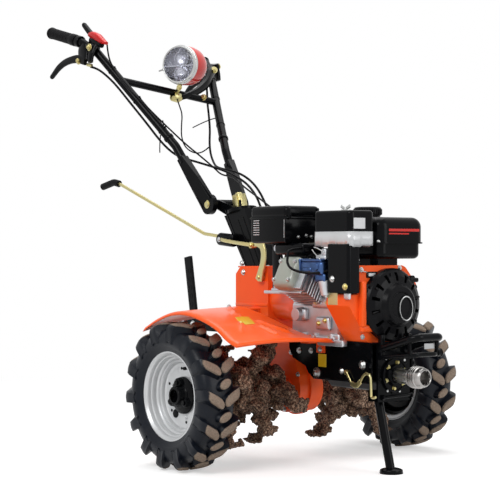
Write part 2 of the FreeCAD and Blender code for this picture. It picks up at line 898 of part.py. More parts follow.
def make_tank():
    """The fuel tank: a domed top and a smaller pan that meet at a rolled seam, on two feet."""
    body = new_body("fuel_tank")

    def plan(inset):
        return [
            ("tank_rear + " + inset, "tank_right + " + inset),
            ("tank_front - " + inset, "tank_right + " + inset),
            ("tank_front - " + inset, "tank_left - " + inset),
            ("tank_rear + " + inset, "tank_left - " + inset),
        ]

    pad(body, "XY", plan("0"), "tank_seam - 2", "tank_seam + 2")
    pad(body, "XY", plan("4"), "tank_seam", "tank_top")
    upper = [name for name in edges_along(body.Tip.Shape, AXIS_Z)
             if body.Tip.Shape.getElement(name).BoundBox.ZMax > size("tank_seam + 3")]
    round_off(body, upper, "30")
    round_off(body, edges_level(body.Tip.Shape, size("tank_top")), "26")
    pad(body, "XY", plan("10"), "tank_bottom", "tank_seam")
    under = [name for name in edges_along(body.Tip.Shape, AXIS_Z)
             if body.Tip.Shape.getElement(name).BoundBox.ZMin < size("tank_seam - 3")]
    round_off(body, under, "24")
    round_off(body, edges_level(body.Tip.Shape, size("tank_bottom")), "14")
    rim = [name for name in edges_along(body.Tip.Shape, AXIS_Z)
           if body.Tip.Shape.getElement(name).Length < 5]
    round_off(body, rim, "33")
    for along in ("case_rear + 120", "shroud_front - 50"):
        foot = [
            (along, "-20"),
            (along + " + 30", "-20"),
            (along + " + 30", "case_half - 50"),
            (along, "case_half - 50"),
        ]
        low = "case_top" if along.startswith("case") else "shroud_top"
        pad(body, "XY", foot, low, "tank_bottom + 2")
    finish(body, "fuel_tank")


def make_cap():
    cap = rod("fuel_cap", ("tank_rear + 65", "35", "tank_top"), "z", "cap_height", "cap_radius")
    finish(cap, "fuel_cap")


def make_cleaner():
    """The air cleaner's rounded box, and the black cover beside the blower housing."""
    body = new_body("air_cleaner")
    pad(body, "XY", [
        ("cleaner_rear", "-cleaner_side"),
        ("cleaner_front", "-cleaner_side"),
        ("cleaner_front", "-cleaner_inner"),
        ("cleaner_rear", "-cleaner_inner"),
    ], "cleaner_bottom", "cleaner_top")
    round_off(body, edges_along(body.Tip.Shape, AXIS_Z), "14")
    round_off(body, edges_level(body.Tip.Shape, size("cleaner_top")), "9")
    finish(body, "air_cleaner")
    cover = new_body("carburettor_cover")
    pad(cover, "XY", [
        ("cover_rear", "-cleaner_side - 2"),
        ("cleaner_front - 4", "-cleaner_side - 2"),
        ("cleaner_front - 4", "-shroud_side"),
        ("cover_rear", "-shroud_side"),
    ], "cover_bottom", "cleaner_bottom")
    round_off(cover, edges_along(cover.Tip.Shape, AXIS_Z), "8")
    finish(cover, "carburettor_cover")


def make_muffler():
    body = new_body("muffler")
    pad(body, "XY", [
        ("muffler_rear", "-cleaner_side"),
        ("muffler_front", "-cleaner_side"),
        ("muffler_front", "-muffler_inner"),
        ("muffler_rear", "-muffler_inner"),
    ], "muffler_bottom", "muffler_top")
    round_off(body, edges_along(body.Tip.Shape, AXIS_Z), "10")
    louvres = []
    for step in range(6):
        low = "muffler_bottom + 18 + %d" % (step * 10)
        louvres.append([
            ("muffler_rear + 14", low),
            ("muffler_rear + 34", low),
            ("muffler_rear + 34", low + " + 4"),
            ("muffler_rear + 14", low + " + 4"),
        ])
    groove(body, "XZ", louvres, "-cleaner_side", "-cleaner_side + 4")
    strut = new_body("muffler_strut")
    pad(strut, "XZ", [
        ("case_rear + 2", "case_top"),
        ("case_rear + 32", "case_top"),
        ("case_rear + 32", "case_top + 6"),
        ("case_rear + 12", "case_top + 6"),
        ("case_rear + 12", "muffler_bottom"),
        ("case_rear + 2", "muffler_bottom"),
    ], "-50", "-muffler_inner + 11")
    finish(body, "muffler")
    finish(strut, "muffler_strut")


def make_oil_cap():
    cap = rod("oil_cap", ("case_rear + 40", "-case_half - 24", "412"), "y", "24", "13")
    finish(cap, "oil_cap")


# ---- fenders ----------------------------------------------------------------------------

def fender_section(across, heights, rise):
    """A closed section of sheet along X at one place across the machine."""
    top = [Vector(x, across, z + rise) for x, z in heights]
    low = [point - Vector(0, 0, size("fender_sheet")) for point in top]
    upper = Part.BSplineCurve()
    upper.interpolate(top)
    lower = Part.BSplineCurve()
    lower.interpolate(low)
    return Part.Wire([
        upper.toShape(),
        Part.LineSegment(top[-1], low[-1]).toShape(),
        lower.toShape().reversed(),
        Part.LineSegment(low[0], top[0]).toShape(),
    ])


def make_fender(word, sign):
    """The pressed mudguard, whose crest runs slantwise from the gearbox to the tyre."""
    inner = [(-185, 408), (-110, 424), (-30, 412), (60, 388), (160, 362), (250, 349), (317, 349)]
    outer = [(-125, 374), (-60, 402), (15, 422), (95, 422), (200, 396), (270, 362), (317, 349)]
    inner_side = size("fender_inner")
    outer_side = size("fender_outer")
    middle = [((a + c) / 2, (b + d) / 2 + 8) for (a, b), (c, d) in zip(inner, outer)]
    sections = [
        fender_section(sign * inner_side, inner, 0),
        fender_section(sign * (inner_side + outer_side) / 2, middle, 0),
        fender_section(sign * (outer_side - 14), outer, 0),
    ]
    sheet_metal = Part.makeLoft(sections, True, False)
    inner_edge = sign * (inner_side + 24)
    for x, z, rise, seat in ((-120, 418, 5, "gear_half"), (180, 338, 17, "base_half")):
        low, high = sorted((sign * size(seat), inner_edge))
        foot = Part.makeBox(36, 6, 30, Vector(x, sign * size(seat) - (0 if sign > 0 else 6), z - 24))
        shelf = Part.makeBox(36, high - low, 6, Vector(x, low, z))
        web = Part.makeBox(6, 24, rise, Vector(x + 15, min(inner_edge, inner_edge - sign * 24), z))
        sheet_metal = sheet_metal.fuse(foot).fuse(shelf).fuse(web)
    finish(shaped("fender_" + word, sheet_metal), "fender_" + word)


# ---- stand ------------------------------------------------------------------------------

def make_stand():
    """The front leg with its round foot, which folds back on a pin."""
    pivot = spot("stand_pivot", "0", "stand_height")
    foot = spot("stand_foot", "0", "0")
    line = (foot - pivot)
    leg = Part.makeCylinder(size("stand_tube"), line.Length - 6, pivot, line)
    half = size("stand_tube")
    knuckle = Part.makeCylinder(half, 2 * half, pivot - Vector(0, half, 0), AXIS_Y)
    bore = Part.makeCylinder(size("pin_radius + running_gap"), 80, pivot - Vector(0, 40, 0), AXIS_Y)
    leg = leg.fuse(knuckle)
    sole = Part.makeCylinder(size("foot_radius"), 4, foot, AXIS_Z)
    dome = Part.makeCone(size("foot_radius"), size("foot_radius * 0.55"), size("foot_depth"),
                         foot + Vector(0, 0, 4), AXIS_Z)
    below = Part.makeBox(200, 200, 40, foot - Vector(100, 100, 40))
    solid = leg.cut(bore).cut(below).fuse(sole).fuse(dome).removeSplitter()
    finish(shaped("stand_leg", solid), "stand_leg")


# ---- handle -----------------------------------------------------------------------------

def make_column():
    """The box column that leans back from the gearbox's top."""
    body = new_body("handle_column")
    pad(body, "XZ", [
        ("gear_rear + 5", "gear_top"),
        ("gear_rear + 85", "gear_top"),
        ("column_front", "column_front_top"),
        ("column_rear", "column_rear_top"),
    ], "-column_half", "column_half")
    finish(body, "handle_column")


def column_end():
    """The middle of the column's sloping top, and the direction square to it."""
    rear = spot("column_rear", "0", "column_rear_top")
    front = spot("column_front", "0", "column_front_top")
    along = (front - rear).normalize()
    return (rear + front) * 0.5, Vector(-along.z, 0, along.x)


def make_swivel():
    """The turning head: a disc on the column, two cheeks and the cross tube for the arms."""
    centre, normal = column_end()
    centre = centre + normal * size("swivel_gap")
    solid = Part.makeCylinder(size("swivel_radius"), size("swivel_depth"), centre, normal)
    half = size("yoke_half")
    pivot = spot("tilt_pivot", "0", "tilt_height")
    cross = Part.makeCylinder(size("yoke_tube"), 2 * half, pivot - Vector(0, half, 0), AXIS_Y)
    solid = solid.fuse(cross)
    top = centre + normal * size("swivel_depth")
    for sign in (-1, 1):
        cheek = Part.Face(Part.makePolygon([
            top + Vector(10, 0, 2.2),
            pivot + Vector(6, 0, 14),
            pivot + Vector(-10, 0, 4),
            pivot + Vector(-4, 0, -12),
            top - normal * size("swivel_depth") + Vector(-38, 0, -8.4),
            top - normal * 2,
            top + Vector(10, 0, 2.2),
        ])).extrude(Vector(0, 7, 0))
        cheek.translate(Vector(0, 24 if sign > 0 else -31, 0))
        solid = solid.fuse(cheek)
    finish(shaped("swivel_head", solid.removeSplitter()), "swivel_head")
    lock = Part.makeCylinder(size("lock_radius"), size("lock_height"), top, normal)
    finish(shaped("swivel_lock", lock), "swivel_lock")


def tilt_pivot():
    return spot("tilt_pivot", "0", "tilt_height")


def dropped(shape, sign):
    """The left arm and what it carries hang a notch lower than the right."""
    if sign > 0:
        shape.rotate(tilt_pivot(), AXIS_Y, -size("arm_drop"))
    return shape


def arm_route(sign):
    """The corners of one handle arm, from the tilt pivot to the end of its grip."""
    return [
        spot("tilt_pivot", side(sign, "yoke_half + arm_plate / 2 + 8"), "tilt_height"),
        spot("knee_back", side(sign, "knee_half"), "knee_height"),
        spot("elbow_back", side(sign, "elbow_half"), "elbow_height"),
        spot("grip_start", side(sign, "grip_half"), "grip_height"),
        spot("drop_reach - rear_reach", side(sign, "grip_end_half"), "grip_end_height"),
    ]


def arm_bar(sign):
    """The round tube of one arm, before it drops to its notch."""
    foot, knee, elbow, start, end = arm_route(sign)
    stop = end - (end - start).normalize() * 6
    begin = knee - (knee - foot).normalize() * 60
    return tube([begin, knee, elbow, start, stop], 40, size("arm_tube"))


def make_arm(word, sign):
    """A bent tube whose flat foot clamps on the swivel head's cross tube."""
    foot, knee = arm_route(sign)[:2]
    run = (knee - foot).normalize()
    across = Vector(0, 1, 0)
    normal = run.cross(across).normalize()
    rings = []
    for reach, wide, thick in ((0, 30, 4), (90, 23, 7), ((knee - foot).Length - 45, 13, 12)):
        middle = foot + run * reach
        corners = [
            middle + normal * wide + across * thick,
            middle - normal * wide + across * thick,
            middle - normal * wide - across * thick,
            middle + normal * wide - across * thick,
        ]
        rings.append(Part.makePolygon(corners + corners[:1]))
    plate = Part.makeLoft(rings, True, True)
    inner = sign * size("yoke_half")
    outer = sign * size("yoke_half + arm_plate + 8")
    low, high = sorted((inner, outer))
    boss = Part.makeCylinder(30, high - low, Vector(foot.x, low, foot.z), AXIS_Y)
    solid = arm_bar(sign).fuse(plate).fuse(boss)
    inside = Part.makeBox(200, 2 * abs(inner), 200)
    inside.translate(Vector(foot.x - 100, -abs(inner), foot.z - 100))
    solid = dropped(solid.cut(inside).removeSplitter(), sign)
    finish(shaped("handle_" + word, solid), "handle_" + word)


def crossbar_ends():
    """Where the crossbar meets the two arms' middles."""
    ends = []
    for word, sign in SIDES:
        route = arm_route(sign)
        place = route[1] + (route[2] - route[1]) * size("crossbar_" + word)
        if sign > 0:
            place = Rotation(AXIS_Y, -size("arm_drop")).multVec(place - tilt_pivot()) + tilt_pivot()
        ends.append(place)
    return ends


def make_crossbar():
    right, left = crossbar_ends()
    run = (left - right).normalize()
    bar = Part.makeCylinder(size("crossbar_tube"), (left - right).Length, right, run)
    for word, sign in SIDES:
        route = arm_route(sign)
        arm = Part.makeCylinder(size("arm_tube"), 400, route[1], route[2] - route[1])
        bar = bar.cut(dropped(arm, sign))
    bar = sorted(bar.Solids, key=lambda solid: solid.Volume)[-1]
    finish(shaped("crossbar", bar), "crossbar")


def make_grip(word, sign):
    begin, end = arm_route(sign)[3:]
    run = (end - begin).normalize()
    long = size("grip_length")
    start = end - run * long
    grip = Part.makeCylinder(size("grip_radius"), long, start, run)
    hole = Part.makeCylinder(size("arm_tube"), long - 6, start, run)
    finish(shaped("grip_" + word, dropped(grip.cut(hole), sign)), "grip_" + word)


def make_lever(word, sign):
    """A hand lever on its clamp, just ahead of the grip."""
    begin, end = arm_route(sign)[3:]
    run = (end - begin).normalize()
    start = begin + run * 22
    band = Part.makeCylinder(size("arm_tube + 5"), 22, start, run)
    band = band.cut(Part.makeCylinder(size("arm_tube"), 22, start, run))
    stem = Part.makeBox(30, 10, 44, start + Vector(-24, -5, -size("arm_tube") - 44))
    half = size("grip_half")
    blade = tube([
        Vector(-757, sign * half, 1184),
        Vector(-800, sign * (half + 1), 1184),
        Vector(-862, sign * (half + 3), 1170),
        Vector(-918, sign * (half + 5), 1143),
    ], 24, 6)
    solid = band.fuse(stem).fuse(blade).cut(arm_bar(sign)).removeSplitter()
    solid = dropped(solid, sign)
    finish(shaped("lever_" + word, solid), "lever_" + word)


def make_throttle():
    """The thumb control on the right arm's bend: a red cover over a black lever."""
    bend = arm_route(-1)[2]
    band = Part.makeCylinder(size("arm_tube + 5"), 26, bend + Vector(10, 4, -14), Vector(-0.7, -0.32, 0.64))
    block = Part.makeBox(34, 16, 22, bend + Vector(-14, -8, 4))
    seat = bend + Vector(2, 0, 22)
    lever = tube([seat + Vector(8, 0, 10), seat + Vector(-24, -2, 40), seat + Vector(-50, -4, 78)], 30, 5)
    solid = band.fuse(block).fuse(lever).cut(arm_bar(-1)).removeSplitter()
    cover = Part.makeBox(54, 22, 20)
    cover.Placement = Placement(seat + Vector(-18, -11, 20), Rotation(AXIS_Y, 28))
    solid = solid.cut(cover)
    solid = sorted(solid.Solids, key=lambda piece: piece.Volume)
    lever_tip = lever.cut(cover)
    tip = sorted(lever_tip.Solids, key=lambda piece: piece.CenterOfMass.z)[-1]
    finish(shaped("throttle_lever", Part.makeCompound([solid[-1], tip])), "throttle_lever")
    finish(shaped("throttle_cover", cover), "throttle_cover")


def make_lamp():
    """The round working lamp on its clamp, turned on its stem towards the right."""
    right, left = crossbar_ends()
    clamp = right + (left - right) * 0.58
    turn = Rotation(AXIS_Z, size("lamp_turn"))
    look = turn.multVec(AXIS_X)
    middle = spot("lamp_ahead", "0", "lamp_height")
    rim = size("lamp_radius")
    deep = size("lamp_depth")
    bowl = Part.makeSphere(rim)
    bowl.Placement = Placement(middle, Rotation())
    front = Part.makeBox(400, 400, 400, Vector(0, -200, -200))
    front.Placement = Placement(middle, turn)
    bowl = bowl.cut(front)
    ring = Part.makeCylinder(rim, 12, middle, look)
    body = bowl.fuse(ring).removeSplitter()
    finish(shaped("headlight_body", body), "headlight_body")
    start = middle + look * 12
    lens = Part.makeSphere(rim * 1.6)
    lens.Placement = Placement(start - look * (rim * 1.25), Rotation())
    keep = Part.makeCylinder(rim - 2, 60, start, look)
    finish(shaped("headlight_lens", lens.common(keep)), "headlight_lens")
    under = middle - Vector(0, 0, rim + 0.3)
    stem = tube([clamp, Vector(clamp.x, clamp.y, under.z - 9), Vector(under.x, under.y, under.z - 7)], 8, 7)
    run = (left - right).normalize()
    band = Part.makeCylinder(size("crossbar_tube + 5"), 26, clamp - run * 13, run)
    band = band.fuse(stem)
    bar = Part.makeCylinder(size("crossbar_tube"), 60, clamp - run * 30, run)
    finish(shaped("headlight_bracket", band.cut(bar).removeSplitter()), "headlight_bracket")


def make_lever_link():
    """The gear lever's guide on the column, its link and the arm on the shift shaft."""
    guide = box("guide", ("column_rear - 20", "-column_half - 10", "guide_low"),
                ("column_rear + 40", "-column_half", "guide_high"))
    finish(guide, "shift_guide")
    link = tube([
        Vector(-300, -47, 626),
        Vector(-136, -52, 601),
        Vector(-104, -72, 580),
        Vector(-98, -74, 512),
    ], 14, 6)
    boss = Part.makeCylinder(11, 20, spot("-98", "-gear_half - 20", "506"), AXIS_Y)
    finish(shaped("shift_link", link.fuse(boss).removeSplitter()), "shift_link")


def make_latch():
    """The stand's catch: a bent strip and a drop rod on the bed's right side."""
    face = "-base_half - 8"
    strip = tube([
        spot("300", face, "262"), spot("326", face, "226"), spot("346", face, "219"),
        spot("384", face, "263"), spot("392", face, "258"), spot("398", face, "204"),
    ], 4, 3.5)
    pins = []
    for x, z in ((300, 262), (388, 262)):
        pins.append(Part.makeCylinder(6, 8, spot(str(x), face, str(z)), AXIS_Y))
    solid = strip
    for pin in pins:
        solid = solid.fuse(pin)
    finish(shaped("stand_latch", solid.removeSplitter()), "stand_latch")


def cord(points, radius):
    """A cable through the points: each corner's arc as large as its two runs allow."""
    edges = []
    start = points[0]
    for before, corner, after in zip(points, points[1:], points[2:]):
        back = before - corner
        ahead = after - corner
        shorter = min(back.Length, ahead.Length)
        back.normalize()
        ahead.normalize()
        half = back.getAngle(ahead) / 2
        trim = 0.45 * shorter
        bend = trim * math.tan(half)
        first = corner + back * trim
        last = corner + ahead * trim
        middle = (back + ahead).normalize()
        centre = corner + middle * math.hypot(trim, bend)
        edges.append(Part.LineSegment(start, first).toShape())
        edges.append(Part.Arc(first, centre - middle * bend, last).toShape())
        print("bend %.0f" % bend, end=" ")
        start = last
    edges.append(Part.LineSegment(start, points[-1]).toShape())
    wire = Part.Wire(edges)
    ring = Part.Wire([Part.Circle(points[0], points[1] - points[0], radius).toShape()])
    solid = wire.makePipeShell([ring], True, False)
    wanted = math.pi * radius ** 2 * wire.Length
    print("volume %.4f of section by length" % (solid.Volume / wanted))
    return solid


def make_cables():
    """The control cables, split where the head turns, and the lamp's lead."""
    clutch = size("clutch_cable")
    thumb = size("throttle_cable")
    lead = size("lamp_lead")
    join_clutch = Vector(-363, 12, 826)
    join_thumb = Vector(-361, 26, 810)
    join_brake = Vector(-369, 36, 828)
    ahead_clutch = Vector(27, 2, -8)
    ahead_thumb = Vector(31, -2, -4)
    ahead_brake = Vector(35, 2, -6)
    upper = [
        cord([
            Vector(-703, -243, 1152), Vector(-678, -236, 1146), Vector(-652, -217, 1122),
            Vector(-629, -197, 1092), Vector(-581, -172, 1030), Vector(-533, -147, 969),
            Vector(-492, -124, 912), Vector(-468, -94, 876), Vector(-446, -68, 862),
            Vector(-426, -36, 852), join_clutch - ahead_clutch * 1.3, join_clutch,
        ], clutch),
        cord([
            Vector(-652, -216, 1222), Vector(-656, -210, 1185), Vector(-631, -209, 1147),
            Vector(-590, -194, 1090), Vector(-547, -166, 1045), Vector(-507, -140, 998),
            Vector(-466, -110, 950), Vector(-428, -78, 904), Vector(-402, -38, 866),
            Vector(-388, 2, 832), join_thumb - ahead_thumb, join_thumb,
        ], thumb),
        cord([
            Vector(-707, 201, 1150), Vector(-670, 179, 1112), Vector(-642, 160, 1060),
            Vector(-606, 140, 1012), Vector(-576, 122, 966), Vector(-548, 99, 922),
            Vector(-516, 80, 884), Vector(-472, 60, 854), join_brake - ahead_brake * 1.4, join_brake,
        ], clutch),
        cord([
            Vector(-594, 15, 1040), Vector(-584, 20, 1012), Vector(-592, 22, 975),
            Vector(-606, 32, 940), Vector(-604, 46, 908), Vector(-580, 64, 890),
            Vector(-550, 76, 892), Vector(-531.6, 85.4, 908),
        ], lead),
    ]
    lower = [
        cord([
            join_clutch, join_clutch + ahead_clutch, Vector(-296, 20, 802), Vector(-252, 22, 780),
            Vector(-206, 18, 746), Vector(-174, 14, 702), Vector(-146, 10, 652),
            Vector(-122, 8, 604), Vector(-104, 8, 566), Vector(-98, 8, 537),
        ], clutch),
        cord([
            join_thumb, join_thumb + ahead_thumb, Vector(-284, 10, 790), Vector(-230, -4, 768),
            Vector(-172, -8, 742), Vector(-112, -8, 712), Vector(-52, -8, 680), Vector(8, -10, 648),
            Vector(66, -10, 612), Vector(118, -10, 578), Vector(160, -16, 552), Vector(196, -24, 540),
        ], thumb),
        cord([
            join_brake, join_brake + ahead_brake, Vector(-284, 46, 802), Vector(-236, 48, 768),
            Vector(-196, 48, 718), Vector(-166, 48, 662), Vector(-140, 48, 606),
            Vector(-122, 48, 566), Vector(-116, 48, 537),
        ], clutch),
    ]
    for word, pieces in (("handle", upper), ("engine", lower)):
        node = shaped("cables_" + word, Part.makeCompound(pieces))
        finish(node, "cables_" + word)


def leaning(name, low, high):
    """An upright bar that leans back through the drawbar's slot, between two heights."""
    middle = "hitch_back + 20 - (%s - hitch_low) * tan(stake_lean * 1 deg)" % low
    far = ("(%s) + stake_wide" % middle, "stake_thick / 2", high)
    bar = box(name, (middle, "-stake_thick / 2", low), far)
    bar.Placement = Placement(bar.Placement.Base, Rotation(AXIS_Y, -size("stake_lean")))
    return bar


def make_hitch():
    """The drawbar behind the gearbox and the leaning stake that sets the working depth."""
    bar = box("drawbar", ("hitch_back", "-hitch_half", "hitch_low"),
              ("gear_rear", "hitch_half", "hitch_high"))
    slot = leaning("stake_slot", "hitch_low - 20", "hitch_high + 40")
    pin = rod("pin_hole", ("hitch_back + 95", "0", "hitch_low - 1"), "z",
              "hitch_high - hitch_low + 2", "hitch_pin")
    finish(cut("hitch", cut("drawbar_cut", bar, slot), pin), "rear_hitch")
    finish(leaning("depth_stake", "stake_low", "stake_top"), "depth_stake")


def make_shift():
    """The gear lever: a long rod from the column's side to its grip."""
    rod_line = tube([
        Vector(-300.8, -47, 626), Vector(-365, -54, 634), Vector(-770, -84, 792), Vector(-800, -86, 802),
    ], 12, 5)
    grip = tube([Vector(-785, -85, 797), Vector(-812, -87, 803), Vector(-872, -91, 790)], 40, 11)
    finish(shaped("shift_lever", rod_line.cut(grip)), "shift_lever")
    finish(shaped("shift_grip", grip), "shift_grip")


def build_all():
    make_shaft()
    for word, sign in SIDES:
        make_wheel(word, sign)
        make_tyre(word, sign)
        make_tines(word, sign)
        make_gearbox(word, sign)
        make_arm(word, sign)
        make_grip(word, sign)
        make_lever(word, sign)
    make_fender("right", -1)
    make_bell()
    make_base()
    make_pto_housing()
    make_front_frame()
    make_pto_flange()
    make_pto_shaft()
    make_pto_coupling()
    make_guard()
    make_crankcase()
    make_cylinder()
    make_shroud()
    make_recoil()
    make_tank()
    make_cap()
    make_cleaner()
    make_muffler()
    make_oil_cap()
    make_stand()
    make_column()
    make_swivel()
    make_crossbar()
    make_hitch()
    make_shift()
    make_lever_link()
    make_throttle()
    make_lamp()
    make_latch()
    make_cables()


build_all()
doc.recompute()
for thing in doc.Objects:
    if "Invalid" in thing.State or "Error" in thing.State:
        raise ValueError(thing.Name + " did not build")
os.makedirs("parts", exist_ok=True)
for node in nodes:
    if node.Shape.isNull() or not node.Shape.isValid():
        raise ValueError(node.Label + " has no valid shape")
    node.Shape.exportStep("parts/%s.step" % node.Label)
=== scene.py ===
import json
import math
import random

import bmesh
import bpy
from mathutils import Matrix, Vector, noise


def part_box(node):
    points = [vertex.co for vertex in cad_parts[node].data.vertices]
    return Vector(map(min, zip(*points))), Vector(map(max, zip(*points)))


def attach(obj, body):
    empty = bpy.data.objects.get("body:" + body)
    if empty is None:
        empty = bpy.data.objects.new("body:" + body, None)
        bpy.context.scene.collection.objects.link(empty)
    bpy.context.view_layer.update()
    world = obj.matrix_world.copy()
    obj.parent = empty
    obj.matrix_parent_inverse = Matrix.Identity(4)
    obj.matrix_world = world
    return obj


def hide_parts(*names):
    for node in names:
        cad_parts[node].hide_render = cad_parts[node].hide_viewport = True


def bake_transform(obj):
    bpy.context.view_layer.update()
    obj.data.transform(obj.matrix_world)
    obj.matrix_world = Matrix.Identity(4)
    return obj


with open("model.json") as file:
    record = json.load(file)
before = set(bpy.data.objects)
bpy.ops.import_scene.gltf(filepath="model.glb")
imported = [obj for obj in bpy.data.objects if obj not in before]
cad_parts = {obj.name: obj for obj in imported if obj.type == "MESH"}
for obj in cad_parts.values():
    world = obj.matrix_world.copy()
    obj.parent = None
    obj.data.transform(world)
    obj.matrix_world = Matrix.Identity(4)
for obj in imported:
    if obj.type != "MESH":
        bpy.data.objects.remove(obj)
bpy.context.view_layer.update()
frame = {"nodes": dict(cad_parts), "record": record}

TAU = 2 * math.pi
X = Vector((1, 0, 0))
Y = Vector((0, 1, 0))
Z = Vector((0, 0, 1))


# ---- places taken from the frame ----------------------------------------------------------

def middle(node):
    low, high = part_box(node)
    return (low + high) / 2


AXLE = middle("drive_shaft")
SIDES = (("right", -1), ("left", 1))


# ---- materials ----------------------------------------------------------------------------

def new_group(name, inputs, outputs):
    """A shader node group with named inputs (name, kind, default) and outputs (name, kind)."""
    tree = bpy.data.node_groups.new(name, "ShaderNodeTree")
    for word, kind, value in inputs:
        socket = tree.interface.new_socket(name=word, in_out="INPUT", socket_type="NodeSocket" + kind)
        socket.default_value = value
    for word, kind in outputs:
        tree.interface.new_socket(name=word, in_out="OUTPUT", socket_type="NodeSocket" + kind)
    return tree, tree.nodes.new("NodeGroupInput"), tree.nodes.new("NodeGroupOutput")


def plug(tree, node, values):
    """Links each named or numbered input of a node to a socket, or sets its value."""
    for word, value in values.items():
        if isinstance(value, bpy.types.NodeSocket):
            tree.links.new(value, node.inputs[word])
        else:
            node.inputs[word].default_value = value
    return node


def node_in(tree, kind, inputs=None, **settings):
    """A new node with its settings, then its inputs."""
    made = tree.nodes.new("ShaderNode" + kind)
    for word, value in settings.items():
        setattr(made, word, value)
    return plug(tree, made, inputs or {})


def maths(tree, operation, *values, clamp=False):
    return node_in(tree, "Math", dict(enumerate(values)), operation=operation, use_clamp=clamp).outputs[0]


def blend_colours(tree, amount, first, second, blend="MIX"):
    return node_in(tree, "Mix", {0: amount, 6: first, 7: second}, data_type="RGBA",
                   blend_type=blend).outputs[2]


def object_place(tree):
    return tree.nodes.new("ShaderNodeTexCoord").outputs["Object"]


def speckle_group():
    """Fine grain: a height for bump and a slow value that varies the roughness."""
    tree, given, out = new_group("fine_grain", [("scale", "Float", 600.0), ("drift", "Float", 9.0)],
                                 [("height", "Float"), ("patches", "Float")])
    place = object_place(tree)
    grain = node_in(tree, "TexNoise", {"Vector": place, "Scale": given.outputs["scale"], "Detail": 3.0})
    slow = node_in(tree, "TexNoise", {"Vector": place, "Scale": given.outputs["drift"], "Detail": 4.0})
    plug(tree, out, {"height": grain.outputs["Fac"], "patches": slow.outputs["Fac"]})
    return tree


def dust_group():
    """Dry soil that gathers low down and in patches: a mask and a height."""
    tree, given, out = new_group("dry_soil",
        [("reach", "Float", 0.3), ("amount", "Float", 0.5), ("patch_scale", "Float", 24.0)],
        [("mask", "Float"), ("height", "Float")])
    place = object_place(tree)
    split = node_in(tree, "SeparateXYZ", {"Vector": place})
    height = maths(tree, "DIVIDE", split.outputs["Z"], given.outputs["reach"])
    low = maths(tree, "SUBTRACT", 1.0, height, clamp=True)
    patches = node_in(tree, "TexNoise", {"Vector": place, "Scale": given.outputs["patch_scale"],
                                         "Detail": 8.0, "Roughness": 0.7})
    spots = node_in(tree, "TexNoise", {"Vector": place, "Scale": 260.0, "Detail": 2.0})
    wanted = maths(tree, "MULTIPLY", low, given.outputs["amount"])
    edge = maths(tree, "SUBTRACT", maths(tree, "ADD", patches.outputs["Fac"], wanted), 0.86)
    mask = maths(tree, "MULTIPLY", edge, 9.0, clamp=True)
    plug(tree, out, {"mask": mask, "height": maths(tree, "MULTIPLY", mask, spots.outputs["Fac"])})
    return tree


GRAIN = speckle_group()
DUST = dust_group()
DRY_SOIL = (0.17, 0.12, 0.075)


def use_group(tree, group, **values):
    return node_in(tree, "Group", values, node_tree=group).outputs


def new_material(name):
    material = bpy.data.materials.new(name)
    material.use_nodes = True
    return material, material.node_tree, material.node_tree.nodes["Principled BSDF"]


def bumped(tree, shader, height, strength, distance, under=None):
    """Feeds a height through a Bump node into the shader's normal, on top of another normal."""
    bump = node_in(tree, "Bump", {"Height": height, "Strength": strength, "Distance": distance})
    if under is not None:
        tree.links.new(under, bump.inputs["Normal"])
    tree.links.new(bump.outputs["Normal"], shader.inputs["Normal"])
    return bump.outputs["Normal"]


def opaque(colour, share=1.0):
    return tuple(c * share for c in colour) + (1.0,)


def under_soil(name, colour, other, scale, drift, dirt, reach=0.3, soil_colour=DRY_SOIL):
    """A material that drifts between two colours, under dry soil. It gives the two groups' outputs too."""
    material, tree, shader = new_material(name)
    grain = use_group(tree, GRAIN, scale=scale, drift=drift)
    soil = use_group(tree, DUST, reach=reach, amount=dirt)
    body = blend_colours(tree, grain["patches"], other, opaque(colour))
    plug(tree, shader, {"Base Color": blend_colours(tree, soil["mask"], body, opaque(soil_colour))})
    return material, tree, shader, grain, soil


def soiled_gloss(tree, grain, soil, spread, rough):
    """A roughness that varies with the grain and is dull where soil lies."""
    gloss = maths(tree, "MULTIPLY_ADD", grain["patches"], spread, rough)
    return maths(tree, "MAXIMUM", gloss, maths(tree, "MULTIPLY", soil["mask"], 0.9))


def paint(name, colour, rough=0.25, peel=0.0003, dirt=0.35, reach=0.3, metal=0.0, coat=0.6, shade=0.82,
          shine=0.5):
    """Sprayed paint: slight orange peel, uneven gloss, and dry soil near the ground."""
    material, tree, shader, grain, soil = under_soil(name, colour, opaque(colour, shade), 170.0, 7.0, dirt,
        reach)
    clean = maths(tree, "SUBTRACT", 1.0, soil["mask"])
    plug(tree, shader, {"Roughness": soiled_gloss(tree, grain, soil, 0.16, rough - 0.08), "Metallic": metal,
                        "Specular IOR Level": shine, "Coat Weight": maths(tree, "MULTIPLY", clean, coat),
                        "Coat Roughness": 0.08})
    first = bumped(tree, shader, grain["height"], 0.25, peel)
    bumped(tree, shader, soil["height"], 0.6, 0.0016, first)
    return material


def metal(name, colour, tint, rough=0.3, dirt=0.1):
    """Bare or plated metal with an uneven tint and a little soil."""
    material, tree, shader, grain, soil = under_soil(name, colour, opaque(tint), 420.0, 26.0, dirt)
    plug(tree, shader, {"Metallic": maths(tree, "SUBTRACT", 1.0, soil["mask"]),
                        "Roughness": soiled_gloss(tree, grain, soil, 0.3, rough - 0.12)})
    first = bumped(tree, shader, grain["height"], 0.4, 0.0003)
    bumped(tree, shader, soil["height"], 0.6, 0.0012, first)
    return material


